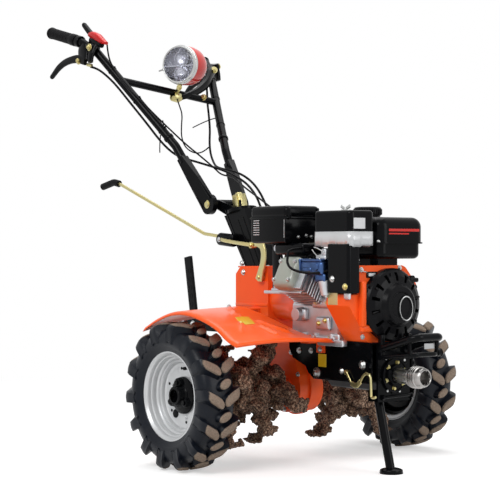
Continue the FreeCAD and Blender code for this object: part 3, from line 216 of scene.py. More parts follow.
def moulded(name, colour, rough=0.45, grain_depth=0.0002, dirt=0.2, scale=900.0, shine=0.25):
    """Plastic or rubber with a fine moulded grain."""
    material, tree, shader, grain, _ = under_soil(name, colour, opaque(colour, 0.75), scale, 14.0, dirt,
                                                  soil_colour=(0.2, 0.15, 0.1))
    plug(tree, shader, {"Roughness": maths(tree, "MULTIPLY_ADD", grain["patches"], 0.2, rough - 0.1),
                        "Specular IOR Level": shine})
    bumped(tree, shader, grain["height"], 0.5, grain_depth)
    return material


def tyre_rubber():
    """Blue-black rubber; what stands above the tread's floor is dry with beige soil."""
    material, tree, shader = new_material("tyre_rubber")
    place = object_place(tree)
    split = node_in(tree, "SeparateXYZ", {"Vector": place})
    ahead = maths(tree, "SUBTRACT", split.outputs["X"], AXLE.x)
    up = maths(tree, "SUBTRACT", split.outputs["Z"], AXLE.z)
    squares = maths(tree, "ADD", maths(tree, "MULTIPLY", ahead, ahead), maths(tree, "MULTIPLY", up, up))
    radius = maths(tree, "SQRT", squares)
    rub = node_in(tree, "TexNoise", {"Vector": place, "Scale": 60.0, "Detail": 6.0, "Roughness": 0.65})
    spots = node_in(tree, "TexNoise", {"Vector": place, "Scale": 240.0, "Detail": 5.0, "Roughness": 0.75})
    ragged = maths(tree, "MULTIPLY_ADD", rub.outputs["Fac"], 0.006, radius)
    top = maths(tree, "MULTIPLY", maths(tree, "SUBTRACT", ragged, TYRE_RADIUS - 0.0005), 600.0, clamp=True)
    film = maths(tree, "MULTIPLY", maths(tree, "SUBTRACT", rub.outputs["Fac"], 0.52), 1.6, clamp=True)
    rubber = blend_colours(tree, film, (0.0042, 0.006, 0.0105, 1), (0.017, 0.017, 0.018, 1))
    beige = blend_colours(tree, spots.outputs["Fac"], (0.06, 0.04, 0.028, 1), (0.46, 0.36, 0.28, 1))
    body = blend_colours(tree, top, rubber, beige)
    gloss = maths(tree, "MULTIPLY_ADD", rub.outputs["Fac"], 0.25, 0.22)
    gloss = maths(tree, "MAXIMUM", gloss, maths(tree, "MULTIPLY", top, 0.95))
    plug(tree, shader, {"Base Color": body, "Roughness": gloss, "Specular IOR Level": 0.17})
    first = bumped(tree, shader, spots.outputs["Fac"], 0.35, 0.0006)
    bumped(tree, shader, maths(tree, "MULTIPLY", top, spots.outputs["Fac"]), 0.8, 0.002, first)
    return material


def clod_soil():
    """Damp brown soil with lighter crumbs, roots and dark hollows."""
    material, tree, shader = new_material("clod_soil")
    place = object_place(tree)
    lumps = node_in(tree, "TexNoise", {"Vector": place, "Scale": 34.0, "Detail": 8.0, "Roughness": 0.7})
    crumbs = node_in(tree, "TexVoronoi", {"Vector": place, "Scale": 130.0, "Randomness": 1.0})
    grit = node_in(tree, "TexNoise", {"Vector": place, "Scale": 175.0, "Detail": 5.0, "Roughness": 0.8})
    ramp = node_in(tree, "ValToRGB", {"Fac": grit.outputs["Fac"]})
    dark, pale = ramp.color_ramp.elements
    dark.position, dark.color = 0.42, (0.02, 0.01, 0.006, 1)
    pale.position, pale.color = 0.6, (0.78, 0.55, 0.38, 1)
    ramp.color_ramp.elements.new(0.51).color = (0.19, 0.095, 0.052, 1)
    wet = blend_colours(tree, maths(tree, "MULTIPLY", lumps.outputs["Fac"], 1.1, clamp=True),
                        (0.45, 0.38, 0.34, 1), (1, 1, 1, 1))
    body = blend_colours(tree, 0.8, ramp.outputs["Color"], wet, blend="MULTIPLY")
    plug(tree, shader, {"Base Color": body,
                        "Roughness": maths(tree, "MULTIPLY_ADD", grit.outputs["Fac"], 0.3, 0.6)})
    first = bumped(tree, shader, crumbs.outputs["Distance"], 0.9, 0.004)
    bumped(tree, shader, grit.outputs["Fac"], 1.0, 0.004, first)
    return material


def clear_lens():
    """Clear glass with a faint smear."""
    material, tree, shader = new_material("clear_lens")
    smear = node_in(tree, "TexNoise", {"Vector": object_place(tree), "Scale": 90.0, "Detail": 3.0})
    plug(tree, shader, {"Base Color": (0.86, 0.87, 0.91, 1), "Transmission Weight": 1.0, "IOR": 1.45,
                        "Roughness": maths(tree, "MULTIPLY_ADD", smear.outputs["Fac"], 0.2, 0.1)})
    return material


def mirror_bowl():
    """The lamp's bright reflector with a faint haze."""
    material, tree, shader = new_material("mirror_bowl")
    haze = node_in(tree, "TexNoise", {"Vector": object_place(tree), "Scale": 50.0,
        "Detail": 3.0}).outputs["Fac"]
    plug(tree, shader, {"Base Color": blend_colours(tree, haze, (0.56, 0.56, 0.6, 1), (0.78, 0.78, 0.82, 1)),
                        "Metallic": 1.0, "Roughness": maths(tree, "MULTIPLY_ADD", haze, 0.15, 0.2)})
    return material


tyre_low, tyre_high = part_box("tyre_right")
TYRE_RADIUS = (tyre_high.z - tyre_low.z) / 2 - 0.003

ORANGE = paint("orange_paint", (1.0, 0.115, 0.014), rough=0.3, dirt=0.4, reach=0.32, coat=0.06, shade=0.9,
    shine=0.2)
BLACK = paint("black_paint", (0.0026, 0.0029, 0.0037), rough=0.2, dirt=0.25, reach=0.26, coat=0.03,
    shine=0.07)
SILVER = paint("silver_paint", (0.62, 0.63, 0.64), rough=0.34, dirt=0.2, reach=0.3, metal=0.3, coat=0.2)
COVER_GREY = paint("cover_grey", (0.33, 0.36, 0.31), rough=0.35, dirt=0.1, coat=0.3)
RED_PAINT = paint("red_paint", (0.7, 0.016, 0.01), rough=0.2, peel=0.00005, dirt=0.0, coat=0.25, shine=0.3)
LABEL = paint("label_yellow", (0.86, 0.62, 0.015), rough=0.3, dirt=0.2, coat=0.6)
CASTING = metal("die_casting", (0.62, 0.63, 0.65), rough=0.42, tint=(0.42, 0.44, 0.47))
STEEL = metal("machined_steel", (0.36, 0.35, 0.34), rough=0.26, tint=(0.32, 0.31, 0.3), dirt=0.3)
ZINC = metal("yellow_zinc", (0.55, 0.43, 0.15), rough=0.34, tint=(0.5, 0.5, 0.3))
BRIGHT = metal("bright_zinc", (0.46, 0.47, 0.48), rough=0.25, tint=(0.5, 0.5, 0.48))
BLUE_BODY = metal("blue_casting", (0.035, 0.085, 0.24), rough=0.3, tint=(0.08, 0.13, 0.26))
RUBBER = moulded("grip_rubber", (0.005, 0.005, 0.006), rough=0.5, shine=0.08)
PLASTIC = moulded("black_plastic", (0.004, 0.004, 0.005), rough=0.28, scale=500.0, shine=0.09)
RED_PLASTIC = moulded("red_plastic", (0.68, 0.014, 0.014), rough=0.22, grain_depth=0.00002, dirt=0.0)
SHEATH = moulded("cable_sheath", (0.003, 0.003, 0.004), rough=0.38, shine=0.08)
TYRE = tyre_rubber()
SOIL = clod_soil()
LENS = clear_lens()
MIRROR = mirror_bowl()

FINISHES = {"orange": ORANGE, "black": BLACK, "silver": SILVER, "castalu": CASTING, "steel": STEEL,
    "zinc": ZINC, "soiled": SOIL, "tyre": TYRE, "rubber": RUBBER, "plastic": PLASTIC,
    "redplastic": RED_PLASTIC, "red": RED_PAINT, "clear": LENS, "green": COVER_GREY, "cable": SHEATH}


def dress_nodes():
    """Every carried-over node gets the finish of its slot."""
    for part in frame["record"]["subparts"]:
        obj = frame["nodes"][part["node"]]
        obj.data.materials.clear()
        obj.data.materials.append(FINISHES[part["material_slot"]])


# ---- shapes -------------------------------------------------------------------------------
# places are vectors in metres; widths, radii and other lengths are in millimetres

def framed(place, axis, roll=None):
    """A matrix that sets a shape made about Z at a place, along an axis."""
    up = Vector(axis).normalized()
    side = Vector(roll) if roll else (Y if abs(up.y) < 0.9 else X)
    across = (side - up * side.dot(up)).normalized()
    turn = Matrix((up.cross(across) * -1, across, up)).transposed()
    turn.col[0] = across.cross(up)
    return Matrix.Translation(place) @ turn.to_4x4()


def piece(name, bm, material, body, replaces=(), sharp=35, bevel=0.0, wall=0.0):
    """Makes an object of a finished shape, smooth between its sharp edges, riding on a body."""
    bmesh.ops.remove_doubles(bm, verts=bm.verts, dist=1e-6)
    bmesh.ops.recalc_face_normals(bm, faces=bm.faces)
    mesh = bpy.data.meshes.new(name)
    bm.to_mesh(mesh)
    bm.free()
    obj = bpy.data.objects.new(name, mesh)
    bpy.context.scene.collection.objects.link(obj)
    mesh.materials.append(material)
    for face in mesh.polygons:
        face.use_smooth = True
    mesh.set_sharp_from_angle(angle=math.radians(sharp))
    if wall:
        thick = obj.modifiers.new("wall", "SOLIDIFY")
        thick.thickness = wall / 1000
        thick.offset = 1
    if bevel:
        soft = obj.modifiers.new("bevel", "BEVEL")
        soft.width = bevel / 1000
        soft.segments = 2
        soft.limit_method = "ANGLE"
        soft.angle_limit = math.radians(35)
    if replaces:
        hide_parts(*replaces)
    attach(obj, body)
    return obj


def turned(bm, profile, place, axis, steps=64):
    """Spins a line of (along, radius) pairs about an axis through a place."""
    matrix = framed(place, axis)
    verts = [bm.verts.new(matrix @ Vector((radius / 1000, 0, along / 1000))) for along, radius in profile]
    edges = [bm.edges.new(pair) for pair in zip(verts, verts[1:])]
    direction = matrix.to_3x3() @ Z
    bmesh.ops.spin(bm, geom=verts + edges, cent=place, axis=direction, angle=TAU, steps=steps, use_merge=True)
    bmesh.ops.remove_doubles(bm, verts=bm.verts, dist=1e-6)


def drum(bm, place, axis, radius, length, sides=24, end_radius=None):
    """A round or many-sided plug from a place along an axis, with closed ends."""
    matrix = framed(Vector(place) + Vector(axis).normalized() * (length / 2000), axis)
    return bmesh.ops.create_cone(bm, cap_ends=True, segments=sides, radius1=radius / 1000,
                                 radius2=(radius if end_radius is None else end_radius) / 1000,
                                 depth=length / 1000, matrix=matrix)["verts"]


def block(bm, place, size, turn=None):
    """A box with its middle at a place."""
    stretch = Matrix.Diagonal((*(length / 1000 for length in size), 1))
    matrix = Matrix.Translation(place) @ (turn.to_4x4() if turn else Matrix()) @ stretch
    return bmesh.ops.create_cube(bm, size=1, matrix=matrix)["verts"]


def bevelled(bm, edges, width, segments, clamp=False):
    bmesh.ops.bevel(bm, geom=edges, offset=width / 1000, segments=segments, affect="EDGES", profile=0.5,
                    material=-1, clamp_overlap=clamp)


def soften(bm, verts, width, segments=2):
    """Rounds every edge of the faces that these corners share."""
    bevelled(bm, list({edge for vert in verts for edge in vert.link_edges}), width, segments)


def hex_bolt(bm, place, axis, size, tall):
    """A bolt's six-sided head on its washer, with the thread's end in the middle."""
    up = Vector(axis).normalized()
    drum(bm, place, up, size * 1.45, size * 0.22, 20)
    base = place + up * size * 0.22 / 1000
    head = drum(bm, base, up, size, tall, 6)
    top = [vert for vert in head if (vert.co - base).dot(up) > tall / 2000]
    crown = list({edge for vert in top for edge in vert.link_edges if edge.other_vert(vert) in top})
    bevelled(bm, crown, size * 0.12, 1)
    drum(bm, base + up * tall / 1000, up, size * 0.5, size * 0.25, 12)


def bar(bm, start, end, radius, sides=16, end_radius=None):
    run = end - start
    drum(bm, start, run, radius, run.length * 1000, sides, end_radius)


def turns(count, axis, lead=0.0):
    """Rotations that spread count pieces round an axis, the first one turned by lead, in whole turns."""
    return [Matrix.Rotation(TAU * (number / count + lead), 3, axis) for number in range(count)]


def smooth_line(points, steps=8):
    """Points on a smooth line through the given ones."""
    ends = [points[0] * 2 - points[1]] + list(points) + [points[-1] * 2 - points[-2]]
    line = []
    for a, b, c, d in zip(ends, ends[1:], ends[2:], ends[3:]):
        for step in range(steps):
            t = step / steps
            line.append(0.5 * (2 * b + (c - a) * t + (2 * a - 5 * b + 4 * c - d) * t * t
                               + (3 * b - a - 3 * c + d) * t * t * t))
    line.append(points[-1])
    return line


def wire(name, routes, radius, material, body, replaces=(), bend=None):
    """Cords or rods: one smooth curve for each route of points, or for a share of the radius and a route.
    bend, when given, makes the cords one fixed mesh that rides on no body; the bodies and places that it
    holds are not used."""
    data = bpy.data.curves.new(name, "CURVE")
    data.dimensions = "3D"
    data.bevel_depth = radius / 1000
    data.bevel_resolution = 4
    data.resolution_u = 10
    data.use_fill_caps = True
    for number, route in enumerate(routes):
        thick = 1.0
        if isinstance(route, tuple):
            thick, route = route
        spline = data.splines.new("NURBS")
        spline.points.add(len(route) - 1)
        for point, place in zip(spline.points, route):
            point.co = (*place, 1)
            point.radius = thick
        spline.order_u = 3
        spline.use_endpoint_u = True
    data.materials.append(material)
    obj = bpy.data.objects.new(name, data)
    bpy.context.scene.collection.objects.link(obj)
    if bend:
        bpy.context.view_layer.update()
        drawn = bpy.data.meshes.new_from_object(obj.evaluated_get(bpy.context.evaluated_depsgraph_get()))
        bpy.data.objects.remove(obj)
        bpy.data.curves.remove(data)
        for face in drawn.polygons:
            face.use_smooth = True
        obj = bpy.data.objects.new(name, drawn)
        bpy.context.scene.collection.objects.link(obj)
    if replaces:
        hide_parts(*replaces)
    if bend:
        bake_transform(obj)
    else:
        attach(obj, body)
    return obj


def at(x, y, z):
    """A place given in millimetres from the axle's middle, with heights from the floor."""
    return Vector((AXLE.x + x / 1000, y / 1000, z / 1000))


def route(*points):
    return [at(*point) for point in points]


dress_nodes()


# ---- wheels -------------------------------------------------------------------------------

TRACK = abs(middle("tyre_right").y)
LUGS = 14
TOP_LINE = ((0.0, 0.0035, 0.1976), (0.3, 0.022, 0.1973), (0.52, 0.041, 0.1958), (0.66, 0.0525, 0.1915),
            (0.78, 0.0568, 0.182), (0.9, 0.0569, 0.167), (1.0, 0.0556, 0.149))
FOOT_LINE = ((0.0, 0.0015, 0.1795), (0.3, 0.02, 0.179), (0.52, 0.035, 0.177), (0.66, 0.0435, 0.1715),
             (0.78, 0.048, 0.164), (0.9, 0.0515, 0.155), (1.0, 0.053, 0.145))
CARCASS = ((34, 112), (41, 118.5), (45, 124), (47.5, 130), (50.5, 134.5), (52, 137), (53, 143), (53.5, 150),
    (52, 158), (48.5, 166), (44, 172.5), (38, 176.5), (25, 179.5), (10, 180.8))


def along_line(line, t):
    """The half-width and radius at a share of the way from the tread's middle to the sidewall."""
    for (a, y0, r0), (b, y1, r1) in zip(line, line[1:]):
        if t <= b:
            f = (t - a) / (b - a)
            return y0 + (y1 - y0) * f, r0 + (r1 - r0) * f
    return line[-1][1:]


def lug_mesh():
    """One bar of the tread: a round-ended top that sweeps down over the shoulder."""
    bm = bmesh.new()
    bmesh.ops.create_cube(bm, size=2)
    run = [e for e in bm.edges if abs((e.verts[0].co - e.verts[1].co).x) > 1]
    bmesh.ops.subdivide_edges(bm, edges=run, cuts=14, use_grid_fill=True)
    wide = [e for e in bm.edges if abs((e.verts[0].co - e.verts[1].co).y) > 1]
    bmesh.ops.subdivide_edges(bm, edges=wide, cuts=4, use_grid_fill=True)
    for vert in bm.verts:
        share, v, up = (vert.co.x + 1) / 2, vert.co.y, vert.co.z > 0
        t = share ** 1.5
        across, radius = along_line(TOP_LINE if up else FOOT_LINE, t)
        nose = math.sqrt(max(0.06, 1 - max(0.0, 1 - t / 0.22) ** 2))
        spread = max(0.0, t - 0.5)
        half = (0.0124 + 0.008 * spread) * nose
        if up:
            radius -= (0.001 + 0.0105 * spread) * v * v
        else:
            half += 0.0058 + 0.004 * (1 - t)
        ahead = v * half + 0.029 * min(1.0, max(0.0, across / 0.052)) - 0.013 + 0.006 * max(0.0, t - 0.66)
        angle = ahead / 0.19
        vert.co = Vector((radius * math.cos(angle), across, radius * math.sin(angle)))
    rim = [e for e in bm.edges if e.calc_face_angle(0) > math.radians(44)]
    bevelled(bm, rim, 2.6, 2, clamp=True)
    bmesh.ops.recalc_face_normals(bm, faces=bm.faces)
    mesh = bpy.data.meshes.new("lug")
    bm.to_mesh(mesh)
    bm.free()
    return mesh


def stud_mesh():
    """The short round-ended stud between two bars on the tread's middle."""
    bm = bmesh.new()
    stud = bmesh.ops.create_cone(bm, cap_ends=True, segments=18, radius1=0.0165, radius2=0.0115, depth=0.02,
                                 matrix=Matrix.Rotation(TAU / 4, 4, "Y"))["verts"]
    for vert in stud:
        vert.co.y *= 1.45
        vert.co.z += vert.co.y * 0.35
    bmesh.ops.translate(bm, verts=stud, vec=(0.1868, 0.0, 0.0))
    soften(bm, [v for v in stud if v.co.x > 0.19], 2.2, 2)
    bmesh.ops.recalc_face_normals(bm, faces=bm.faces)
    mesh = bpy.data.meshes.new("stud")
    bm.to_mesh(mesh)
    bm.free()
    return mesh


def make_tyre(word, sign, lug, stud):
    """A carcass with stepped sidewalls and two rows of bars that meet as arrows."""
    hub = Vector((AXLE.x, sign * TRACK, AXLE.z))
    bm = bmesh.new()
    profile = list(CARCASS) + [(-across, radius) for across, radius in reversed(CARCASS)]
    turned(bm, profile, hub, Y, steps=84)
    for face in bm.faces:
        face.smooth = True
    for number in range(LUGS):
        for shape, row, step, shift in ((lug, -1, 0.0, 0.0), (lug, 1, 0.06, 0.0), (stud, 1, 0.5, 0.006)):
            turn = TAU * (number + step) / LUGS + (0.09 if sign > 0 else 0.0)
            known = set(bm.verts)
            bm.from_mesh(shape)
            fresh = [vert for vert in bm.verts if vert not in known]
            place = Matrix.Translation(hub + Y * shift * -sign) @ Matrix.Rotation(-turn, 4, "Y")
            bmesh.ops.transform(bm, matrix=place @ Matrix.Diagonal((1, row, 1, 1)), verts=fresh)
            if row < 0:
                faces = list({face for vert in fresh for face in vert.link_faces})
                bmesh.ops.reverse_faces(bm, faces=faces)
    piece("lugged_tyre_" + word, bm, TYRE, "axle_rotor", ["tyre_" + word], sharp=42)


def make_rim(word, sign):
    """The pressed rim with its stepped flange and dish, a black sheet of painted shade inside it, the black
    hub, valve and bolts.
    """
    hub = Vector((AXLE.x, sign * TRACK, AXLE.z))
    out = Y * sign
    bm = bmesh.new()
    barrel = [(-38, 112.5), (-39.5, 116.5), (-37.5, 117.2), (-34.5, 114.5), (-33, 106), (-30, 104),
        (-20, 103), (-17, 98), (0, 97.5), (4, 98.5), (7.5, 99.5), (8.8, 101), (10, 104), (21.5, 105.2),
        (23.2, 106.2), (24.3, 109.2), (33, 110.8), (35.2, 112), (36.6, 114), (38.8, 115), (39.8, 116.4),
        (39.4, 117.8), (37, 118.6), (34.5, 118)]
    turned(bm, barrel, hub, out, steps=84)
    dish = [(-1, 97.8), (2.2, 95), (2.6, 91.5), (-1, 89.5), (-7.5, 88.5),
            (-9.8, 86), (-10.8, 80), (-11.2, 56), (-11.5, 30), (-11.5, 16.5)]
    turned(bm, dish, hub, out, steps=84)
    piece("stepped_rim_" + word, bm, SILVER, "axle_rotor", ["wheel_" + word], wall=2.2)
    # a black sheet on the rim's inner side: painted shade where that side falls dark, not a part of the real
    # rim
    bm = bmesh.new()
    inner_shade_profile = [(-29.2, 100.2), (-21.5, 99.2), (-18.8, 93.8), (-7, 93), (-12, 85), (-16, 79), (-16.5, 32)]
    turned(bm, inner_shade_profile, hub, out, steps=84)
    piece("rim_painted_shade_" + word, bm, BLACK, "axle_rotor", wall=1)
    bm = bmesh.new()
    face = hub + out * -0.0102
    core = [(-50, 16.8), (-50, 30), (-12, 31), (-10, 47), (-6, 50), (-2, 49), (2, 43), (4, 32), (10, 27),
        (22, 25.5), (24.5, 23.5), (25, 17.8)]
    turned(bm, core, hub, out, steps=56)
    for turn in turns(3, "Y", 0.08):
        arm = turn @ Vector((0.0345, 0, 0))
        knob = drum(bm, hub + arm - out * 0.001, out, 15, 15, 24, 12)
        soften(bm, knob, 1.8, 2)
        drum(bm, hub + arm + out * 0.0135, out, 7.2, 5.5, 6)
    piece("hub_cap_" + word, bm, BLACK, "axle_rotor")
    bm = bmesh.new()
    for turn in turns(6, "Y", 0.06):
        drum(bm, face + turn @ Vector((0.072, 0, 0)) + out * 0.0008, out, 4, 1.4, 14)
    seat = face + Matrix.Rotation(2.2, 3, "Y") @ Vector((0.064, 0, 0)) + out * 0.0005
    soften(bm, drum(bm, seat, out, 11.5, 3.5, 24), 1, 2)
    stem = hub + Matrix.Rotation(-1.1, 3, "Y") @ Vector((0.084, 0, 0))
    bar(bm, stem - out * 0.009, stem + out * 0.012, 4.2, 14, 3.4)
    bar(bm, stem + out * 0.012, stem + out * 0.02, 4.6, 14, 4.2)
    piece("valve_and_plug_" + word, bm, RUBBER, "axle_rotor")
    bm = bmesh.new()
    dimple = hub + Matrix.Rotation(-1.9, 3, "Y") @ Vector((0.071, 0, 0)) + out * -0.0118
    turned(bm, [(0, 0), (4.2, 0), (4, 4.5), (2.6, 8.5), (0, 10.5)], dimple, out, steps=28)
    for turn in turns(3, "Y", 0.22):
        hex_bolt(bm, face + turn @ Vector((0.0585, 0, 0)) + out * 0.0008, out, 5, 3.8)
    piece("dish_bolts_" + word, bm, SILVER, "axle_rotor")


def make_axle_ends():
    """The washers outside each wheel's hub."""
    bm = bmesh.new()
    for sign in (-1, 1):
        hub = Vector((AXLE.x, sign * (TRACK + 0.0078), AXLE.z))
        drum(bm, hub - Y * sign * 0.002, Y * sign, 21.5, 3, 28)
    piece("axle_washers", bm, BLACK, "axle_rotor")


lug = lug_mesh()
stud = stud_mesh()
for word, sign in SIDES:
    make_tyre(word, sign, lug, stud)
    make_rim(word, sign)
make_axle_ends()
bpy.data.meshes.remove(lug)
bpy.data.meshes.remove(stud)


# ---- tines under dried soil -----------------------------------------------------------------

CLODS_ON_BLADES, CLODS_ON_SLEEVE = 110, 190
SLEEVE_SOIL, BLADE_SOIL, SOIL_LIMIT = 0.088, 0.146, 0.158


def make_soiled_tines(word, sign):
    """The hooked tines with clods of soil that cling round them and their sleeve."""
    draw = random.Random(41 + sign)
    bm = bmesh.new()
    bm.from_mesh(frame["nodes"]["tines_" + word].data)
    bmesh.ops.remove_doubles(bm, verts=bm.verts, dist=1e-5)
    low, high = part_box("tines_" + word)
    inner = min(abs(low.y), abs(high.y)) + 0.034
    outer = max(abs(low.y), abs(high.y)) - 0.02

    def reach_of(spot):
        return math.hypot(spot.x - AXLE.x, spot.z - AXLE.z)

    blades = [vert.co.copy() for vert in bm.verts
              if inner < abs(vert.co.y) < outer and SLEEVE_SOIL < reach_of(vert.co) < BLADE_SOIL]
    for _ in range(CLODS_ON_BLADES):
        spot = draw.choice(blades)
        far = (reach_of(spot) - SLEEVE_SOIL) / 0.058
        big = draw.uniform(0.012, 0.018) * (1.05 - 0.5 * far)
        lump = bmesh.ops.create_icosphere(bm, subdivisions=2, radius=big)["verts"]
        bmesh.ops.translate(bm, verts=lump, vec=spot)
    for _ in range(CLODS_ON_SLEEVE):
        share = draw.random()
        along = inner + (outer - inner) * draw.random()
        reach = 0.026 + 0.066 * share ** 1.25
        turn = draw.random() * TAU
        middle_spot = Vector((AXLE.x + reach * math.cos(turn), sign * along, AXLE.z + reach * math.sin(turn)))
        big = draw.uniform(0.01, 0.026) * (1.15 - 0.5 * share)
        lump = bmesh.ops.create_icosphere(bm, subdivisions=2, radius=big)["verts"]
        shape = Matrix.Diagonal((draw.uniform(0.7, 1.2), draw.uniform(0.7, 1.1), draw.uniform(0.7, 1.2), 1))
        bmesh.ops.transform(bm, matrix=Matrix.Translation(middle_spot) @ shape, verts=lump)
    mesh = bpy.data.meshes.new("soil_" + word)
    bm.to_mesh(mesh)
    bm.free()
    source = bpy.data.objects.new("soil_source", mesh)
    bpy.context.scene.collection.objects.link(source)
    fuse = source.modifiers.new("fuse", "REMESH")
    fuse.mode = "VOXEL"
    fuse.voxel_size = 0.0047
    bpy.context.view_layer.update()
    drawn = bpy.data.meshes.new_from_object(source.evaluated_get(bpy.context.evaluated_depsgraph_get()))
    bpy.data.objects.remove(source)
    bm = bmesh.new()
    bm.from_mesh(drawn)
    bm.normal_update()
    moves = []
    for vert in bm.verts:
        spot = vert.co
        rough = noise.fractal(spot * 85, 0.75, 2.2, 5) * 0.0062 + noise.noise(spot * 24) * 0.005
        near = abs(spot.y) - inner + 0.034
        room = 1.0 if near > 0.02 else max(0.0, near / 0.02)
        moves.append(vert.normal * (rough + 0.0015) * room)
    for vert, move in zip(bm.verts, moves):
        there = vert.co + move
        flat = Vector((there.x - AXLE.x, 0, there.z - AXLE.z))
        if flat.length > SOIL_LIMIT:
            there = Vector((AXLE.x, there.y, AXLE.z)) + flat.normalized() * SOIL_LIMIT
        vert.co = there
    piece("soiled_tines_" + word, bm, SOIL, "axle_rotor", ["tines_" + word], sharp=80)
    bpy.data.meshes.remove(drawn)
    bpy.data.meshes.remove(mesh)


for word, sign in SIDES:
    make_soiled_tines(word, sign)


# ---- mudguard -------------------------------------------------------------------------------

INNER_CREST = ((-185, 408), (-110, 424), (-30, 412), (60, 388), (155, 363), (235, 350), (290, 351))
OUTER_CREST = ((-125, 374), (-60, 402), (15, 422), (95, 422), (190, 398), (250, 366), (290, 351))
MIDDLE_CREST = tuple(((a + c) / 2, (b + d) / 2 + 8) for (a, b), (c, d) in zip(INNER_CREST, OUTER_CREST))
FENDER_INNER, FENDER_OUTER = 112, 436
FENDER_LENGTH, FENDER_WIDTH = 500, FENDER_OUTER - FENDER_INNER
# each rib's start and then its end, as shares along the sheet and across it
RIBS = ((0.2, 0.2, 0.78, 0.8), (0.33, 0.38, 0.72, 0.62), (0.58, 0.42, 0.78, 0.24), (0.62, 0.52, 0.84, 0.46))
RIB_SHOWS = 0.8
# the middle of the bare label, where the ribs stop short
LABEL_ALONG, LABEL_ACROSS = 0.61, 0.56


def crest(points, share):
    """A place on a smooth line through (along, height) points."""
    last = len(points) - 1
    place = min(max(share, 0.0), 1.0) * last
    number = min(int(place), last - 1)
    t = place - number
    b, c = Vector(points[number]), Vector(points[number + 1])
    a = Vector(points[number - 1]) if number else b * 2 - c
    d = Vector(points[number + 2]) if number + 2 <= last else c * 2 - b
    return 0.5 * (2 * b + (c - a) * t + (2 * a - 5 * b + 4 * c - d) * t * t
                  + (3 * b - a - 3 * c + d) * t ** 3)


def fender_place(along, across, lift=0.0):
    """A place on the pressed sheet, from its shares of the way along and across."""
    shares = ((1 - across) * (1 - 2 * across), 4 * across * (1 - across), across * (2 * across - 1))
    flat = sum((crest(line, along) * share for line, share in
                zip((INNER_CREST, MIDDLE_CREST, OUTER_CREST), shares)), Vector((0, 0)))
    return at(flat.x, -(FENDER_INNER + FENDER_WIDTH * across), flat.y + lift)


def rib_height(along, across):
    """How far the pressed ribs raise the sheet here, in millimetres."""
    best = 0.0
    for a0, c0, a1, c1 in RIBS:
        run = Vector(((a1 - a0) * FENDER_LENGTH, (c1 - c0) * FENDER_WIDTH))
        here = Vector(((along - a0) * FENDER_LENGTH, (across - c0) * FENDER_WIDTH))
        share = min(1.0, max(0.0, here.dot(run) / run.length_squared))
        away = (here - run * share).length
        taper = min(1.0, (share + 0.04) / 0.2, (1.04 - share) / 0.2)
        best = max(best, 9.5 * max(0.0, taper) * math.exp(-(away / 5.5) ** 2))
    from_label = math.hypot((along - LABEL_ALONG) * FENDER_LENGTH, (across - LABEL_ACROSS) * FENDER_WIDTH)
    return best * min(1.0, max(0.0, (from_label - 34) / 16))


def make_fender():
    """The pressed mudguard: ribs, a rolled edge all round, brackets, bolts and a bare label."""
    bm = bmesh.new()
    bmesh.ops.create_grid(bm, x_segments=100, y_segments=60, size=0.5)
    for vert in bm.verts:
        along, across = vert.co.x + 0.5, vert.co.y + 0.5
        roll = 0.0
        for edge_share, span in ((1 - across, 0.045), (1 - along, 0.03), (along, 0.03), (across, 0.03)):
            if edge_share < span:
                roll = max(roll, (1 - math.sqrt(max(0.0, 1 - (1 - edge_share / span) ** 2))) * 8)
        inward = 0.5 + (across - 0.5) * 0.996
        swage = 3.5 * math.exp(-((across - 0.06) / 0.05) ** 2)
        vert.co = fender_place(along, inward,
            rib_height(along, across) * RIB_SHOWS + swage * 0.5 - roll - 2.4)
    piece("ribbed_fender", bm, ORANGE, "chassis", ["fender_right"], wall=2.2)
    bm = bmesh.new()
    for x, low, high, rise, seat in ((-120, 414, 420, 3, 62), (180, 336, 342, 15, 75)):
        reach = FENDER_INNER + 24
        for y, z, size in ((-(seat + reach) / 2, (low + high) / 2, (34, reach - seat, 5)),
                (-seat - 3, low - 12, (34, 5, 30)), (-reach + 12, high + rise / 2, (5, 22, rise + 4))):
            soften(bm, block(bm, at(x + 18, y, z), size), 1, 1)
    piece("fender_brackets", bm, ORANGE, "chassis")
    bm = bmesh.new()
    hex_bolt(bm, fender_place(0.29, 0.3, 0.2), Z + X * 0.05, 6.2, 5.5)
    hex_bolt(bm, fender_place(0.14, 0.12, 0.2), Z, 5.5, 5)
    hex_bolt(bm, fender_place(0.86, 0.1, 0.0), Z + X * 0.2, 5.5, 5)
    for x, seat, z in ((-102, 62, 402), (198, 75, 324)):
        hex_bolt(bm, at(x, -seat - 5.5, z - 6), -Y, 5.5, 5)
    piece("fender_bolts", bm, BRIGHT, "chassis")
    bm = bmesh.new()
    bmesh.ops.create_grid(bm, x_segments=40, y_segments=30, size=0.5)
    for vert in bm.verts:
        along = LABEL_ALONG + vert.co.x * 0.127 + vert.co.y * 0.046
        across = LABEL_ACROSS + vert.co.y * 0.22 + vert.co.x * 0.115
        vert.co = fender_place(along, across, rib_height(along, across) * RIB_SHOWS + 0.4)
    piece("blank_label_fender", bm, LABEL, "chassis", wall=0.4)


make_fender()


# ---- gearbox, bed and engine ---------------------------------------------------------------

CRANK = at(0, 0, 442)


def rounded_block(bm, low, high, width, segments=3):
    """A box between two corners, with rounded edges."""
    low, high = at(*low), at(*high)
    size = [abs(b - a) * 1000 for a, b in zip(low, high)]
    soften(bm, block(bm, (low + high) / 2, size), width, segments)


def blocks(bm, *rows):
    """Rounded boxes. A row has the two corners, the rounding's width and, if not 3, its steps."""
    for row in rows:
        rounded_block(bm, row[:3], row[3:6], *row[6:])


